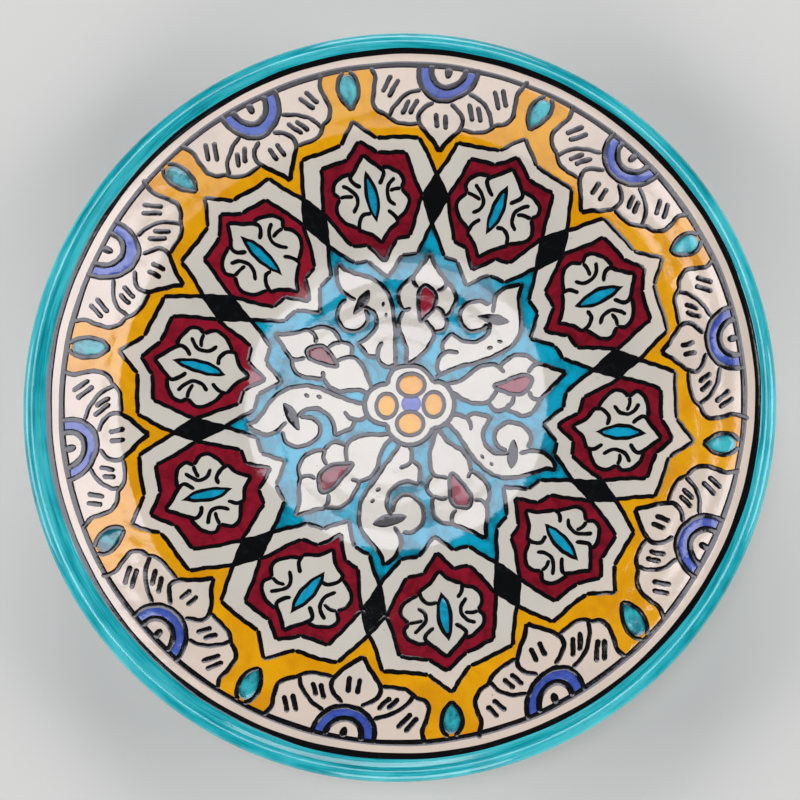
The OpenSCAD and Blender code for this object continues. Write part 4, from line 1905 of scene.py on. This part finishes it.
def facing(back: Vector, place: Vector) -> Matrix:
    """Works out the pose of a light or camera, held level in the plate's x direction.

    Args:
        back: the way that it looks away from.
        place: where it stands.

    Returns:
        The pose.
    """
    right = Vector((0, 1, 0)).cross(back).normalized()
    turn = Matrix((right, back.cross(right), back)).transposed().to_4x4()
    return Matrix.Translation(place) @ turn


@dataclass(frozen=True)
class Softbox:
    """A four-sided light that looks at the plate, leant from overhead by angles in x and y."""

    name: str
    lean: Point
    distance: float
    wide: float
    tall: float
    radiance: float
    tint: tuple[float, float, float] = (1.0, 1.0, 1.0)

    def hang(self) -> None:
        """Hangs the light over the plate, facing its middle."""
        light = bpy.data.lights.new(self.name, "AREA")
        light.shape = "RECTANGLE"
        light.size, light.size_y = self.wide, self.tall
        light.energy = self.radiance * math.pi * self.wide * self.tall
        light.color = self.tint
        holder = bpy.data.objects.new(self.name, light)
        way = Vector([math.tan(math.radians(angle)) for angle in self.lean] + [1]).normalized()
        holder.matrix_world = facing(way, way * self.distance)
        bpy.context.scene.collection.objects.link(holder)


@dataclass(frozen=True)
class Studio:
    """A pale floor, soft light and the camera, which looks down at the plate."""

    panes: tuple[Softbox, ...] = (
        Softbox("upper_pane", (-3, 7.5), distance=6.0, wide=2.1, tall=1.16, radiance=6.2,
                tint=(0.96, 0.95, 1.06)),
        Softbox("lower_pane", (-4.4, -1.2), distance=6.0, wide=1.67, tall=0.57, radiance=2.2,
                tint=(0.96, 0.95, 1.06)))
    sides: tuple[Softbox, ...] = tuple(
        Softbox(f"side_{x}_{y}", (x, y), distance=3.0, wide=1.5, tall=1.5, radiance=5.7)
        for x, y in ((0, 66), (66, 0), (0, -66), (-66, 0)))
    sky: float = 0.08
    paper: Colour = srgb(226, 226, 223)
    paper_roughness: float = 0.8
    floor_side: float = 16.0
    tilt: float = math.radians(9)
    lean: Point = (0.4985, -0.867)
    distance: float = 0.65
    aim: tuple[float, float, float] = (0.0028, -0.0017, 0.036)
    lens: float = 73.8

    def light(self) -> None:
        """Hangs the lights and dims the sky."""
        for box in self.panes + self.sides:
            box.hang()
        world = bpy.data.worlds.new("studio")
        world.use_nodes = True
        sky = world.node_tree.nodes["Background"]
        sky.inputs["Color"].default_value = (1, 1, 1, 1)
        sky.inputs["Strength"].default_value = self.sky
        scene = bpy.context.scene
        scene.world = world
        scene.view_settings.view_transform = "Standard"

    def floor(self) -> None:
        """Lays the pale floor."""
        mesh = bpy.data.meshes.new("floor")
        s = self.floor_side / 2
        mesh.from_pydata([(-s, -s, 0), (s, -s, 0), (s, s, 0), (-s, s, 0)], [], [(0, 1, 2, 3)])
        mesh.materials.append(Wiring("pale_floor").finish(self.paper, self.paper_roughness, []))
        floor = bpy.data.objects.new("floor", mesh)
        bpy.context.scene.collection.objects.link(floor)
        floor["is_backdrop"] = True

    def camera(self) -> None:
        """Sets the camera over the plate, tilted a little to its lower right."""
        reach = math.sin(self.tilt)
        back = Vector((reach * self.lean[0], reach * self.lean[1], math.cos(self.tilt)))
        back.normalize()
        data = bpy.data.cameras.new("camera")
        data.lens = self.lens
        camera = bpy.data.objects.new("camera", data)
        camera.matrix_world = facing(back, Vector(self.aim) + back * self.distance)
        bpy.context.scene.collection.objects.link(camera)
        bpy.context.scene.camera = camera


def corners(box: tuple[Vector, Vector]) -> list[list[float]]:
    """A box's lowest and highest corner as plain numbers."""
    return [list(map(float, corner)) for corner in box]


def main() -> None:
    """Builds the plate from the clay up, and then the studio."""
    logging.basicConfig(level=logging.INFO, format="%(name)s: %(message)s")
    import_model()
    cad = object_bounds()
    section = Section(plate_r=(cad[1].x - cad[0].x) / 2 / MM,
                      floor_z=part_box("centre_eye")[0].z / MM,
                      well_z=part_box("well_glaze")[0].z / MM)
    hand = Hand(section)
    finishes = Finishes()
    tools = (hand, Brush(section), Filler(section), finishes)

    ThrownPlate(section, hand, finishes).build()
    Bands(*tools).build()
    medallions = Medallions(*tools)
    medallions.build()
    Border(*tools, medallions).build()
    flower = MiddleFlower(*tools)
    Star(*tools, medallions).build(flower.outline())
    flower.build()

    studio = Studio()
    studio.light()
    studio.floor()
    studio.camera()
    {"cad": corners(cad), "visual": corners(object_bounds())}


if __name__ == "__main__":
    main()
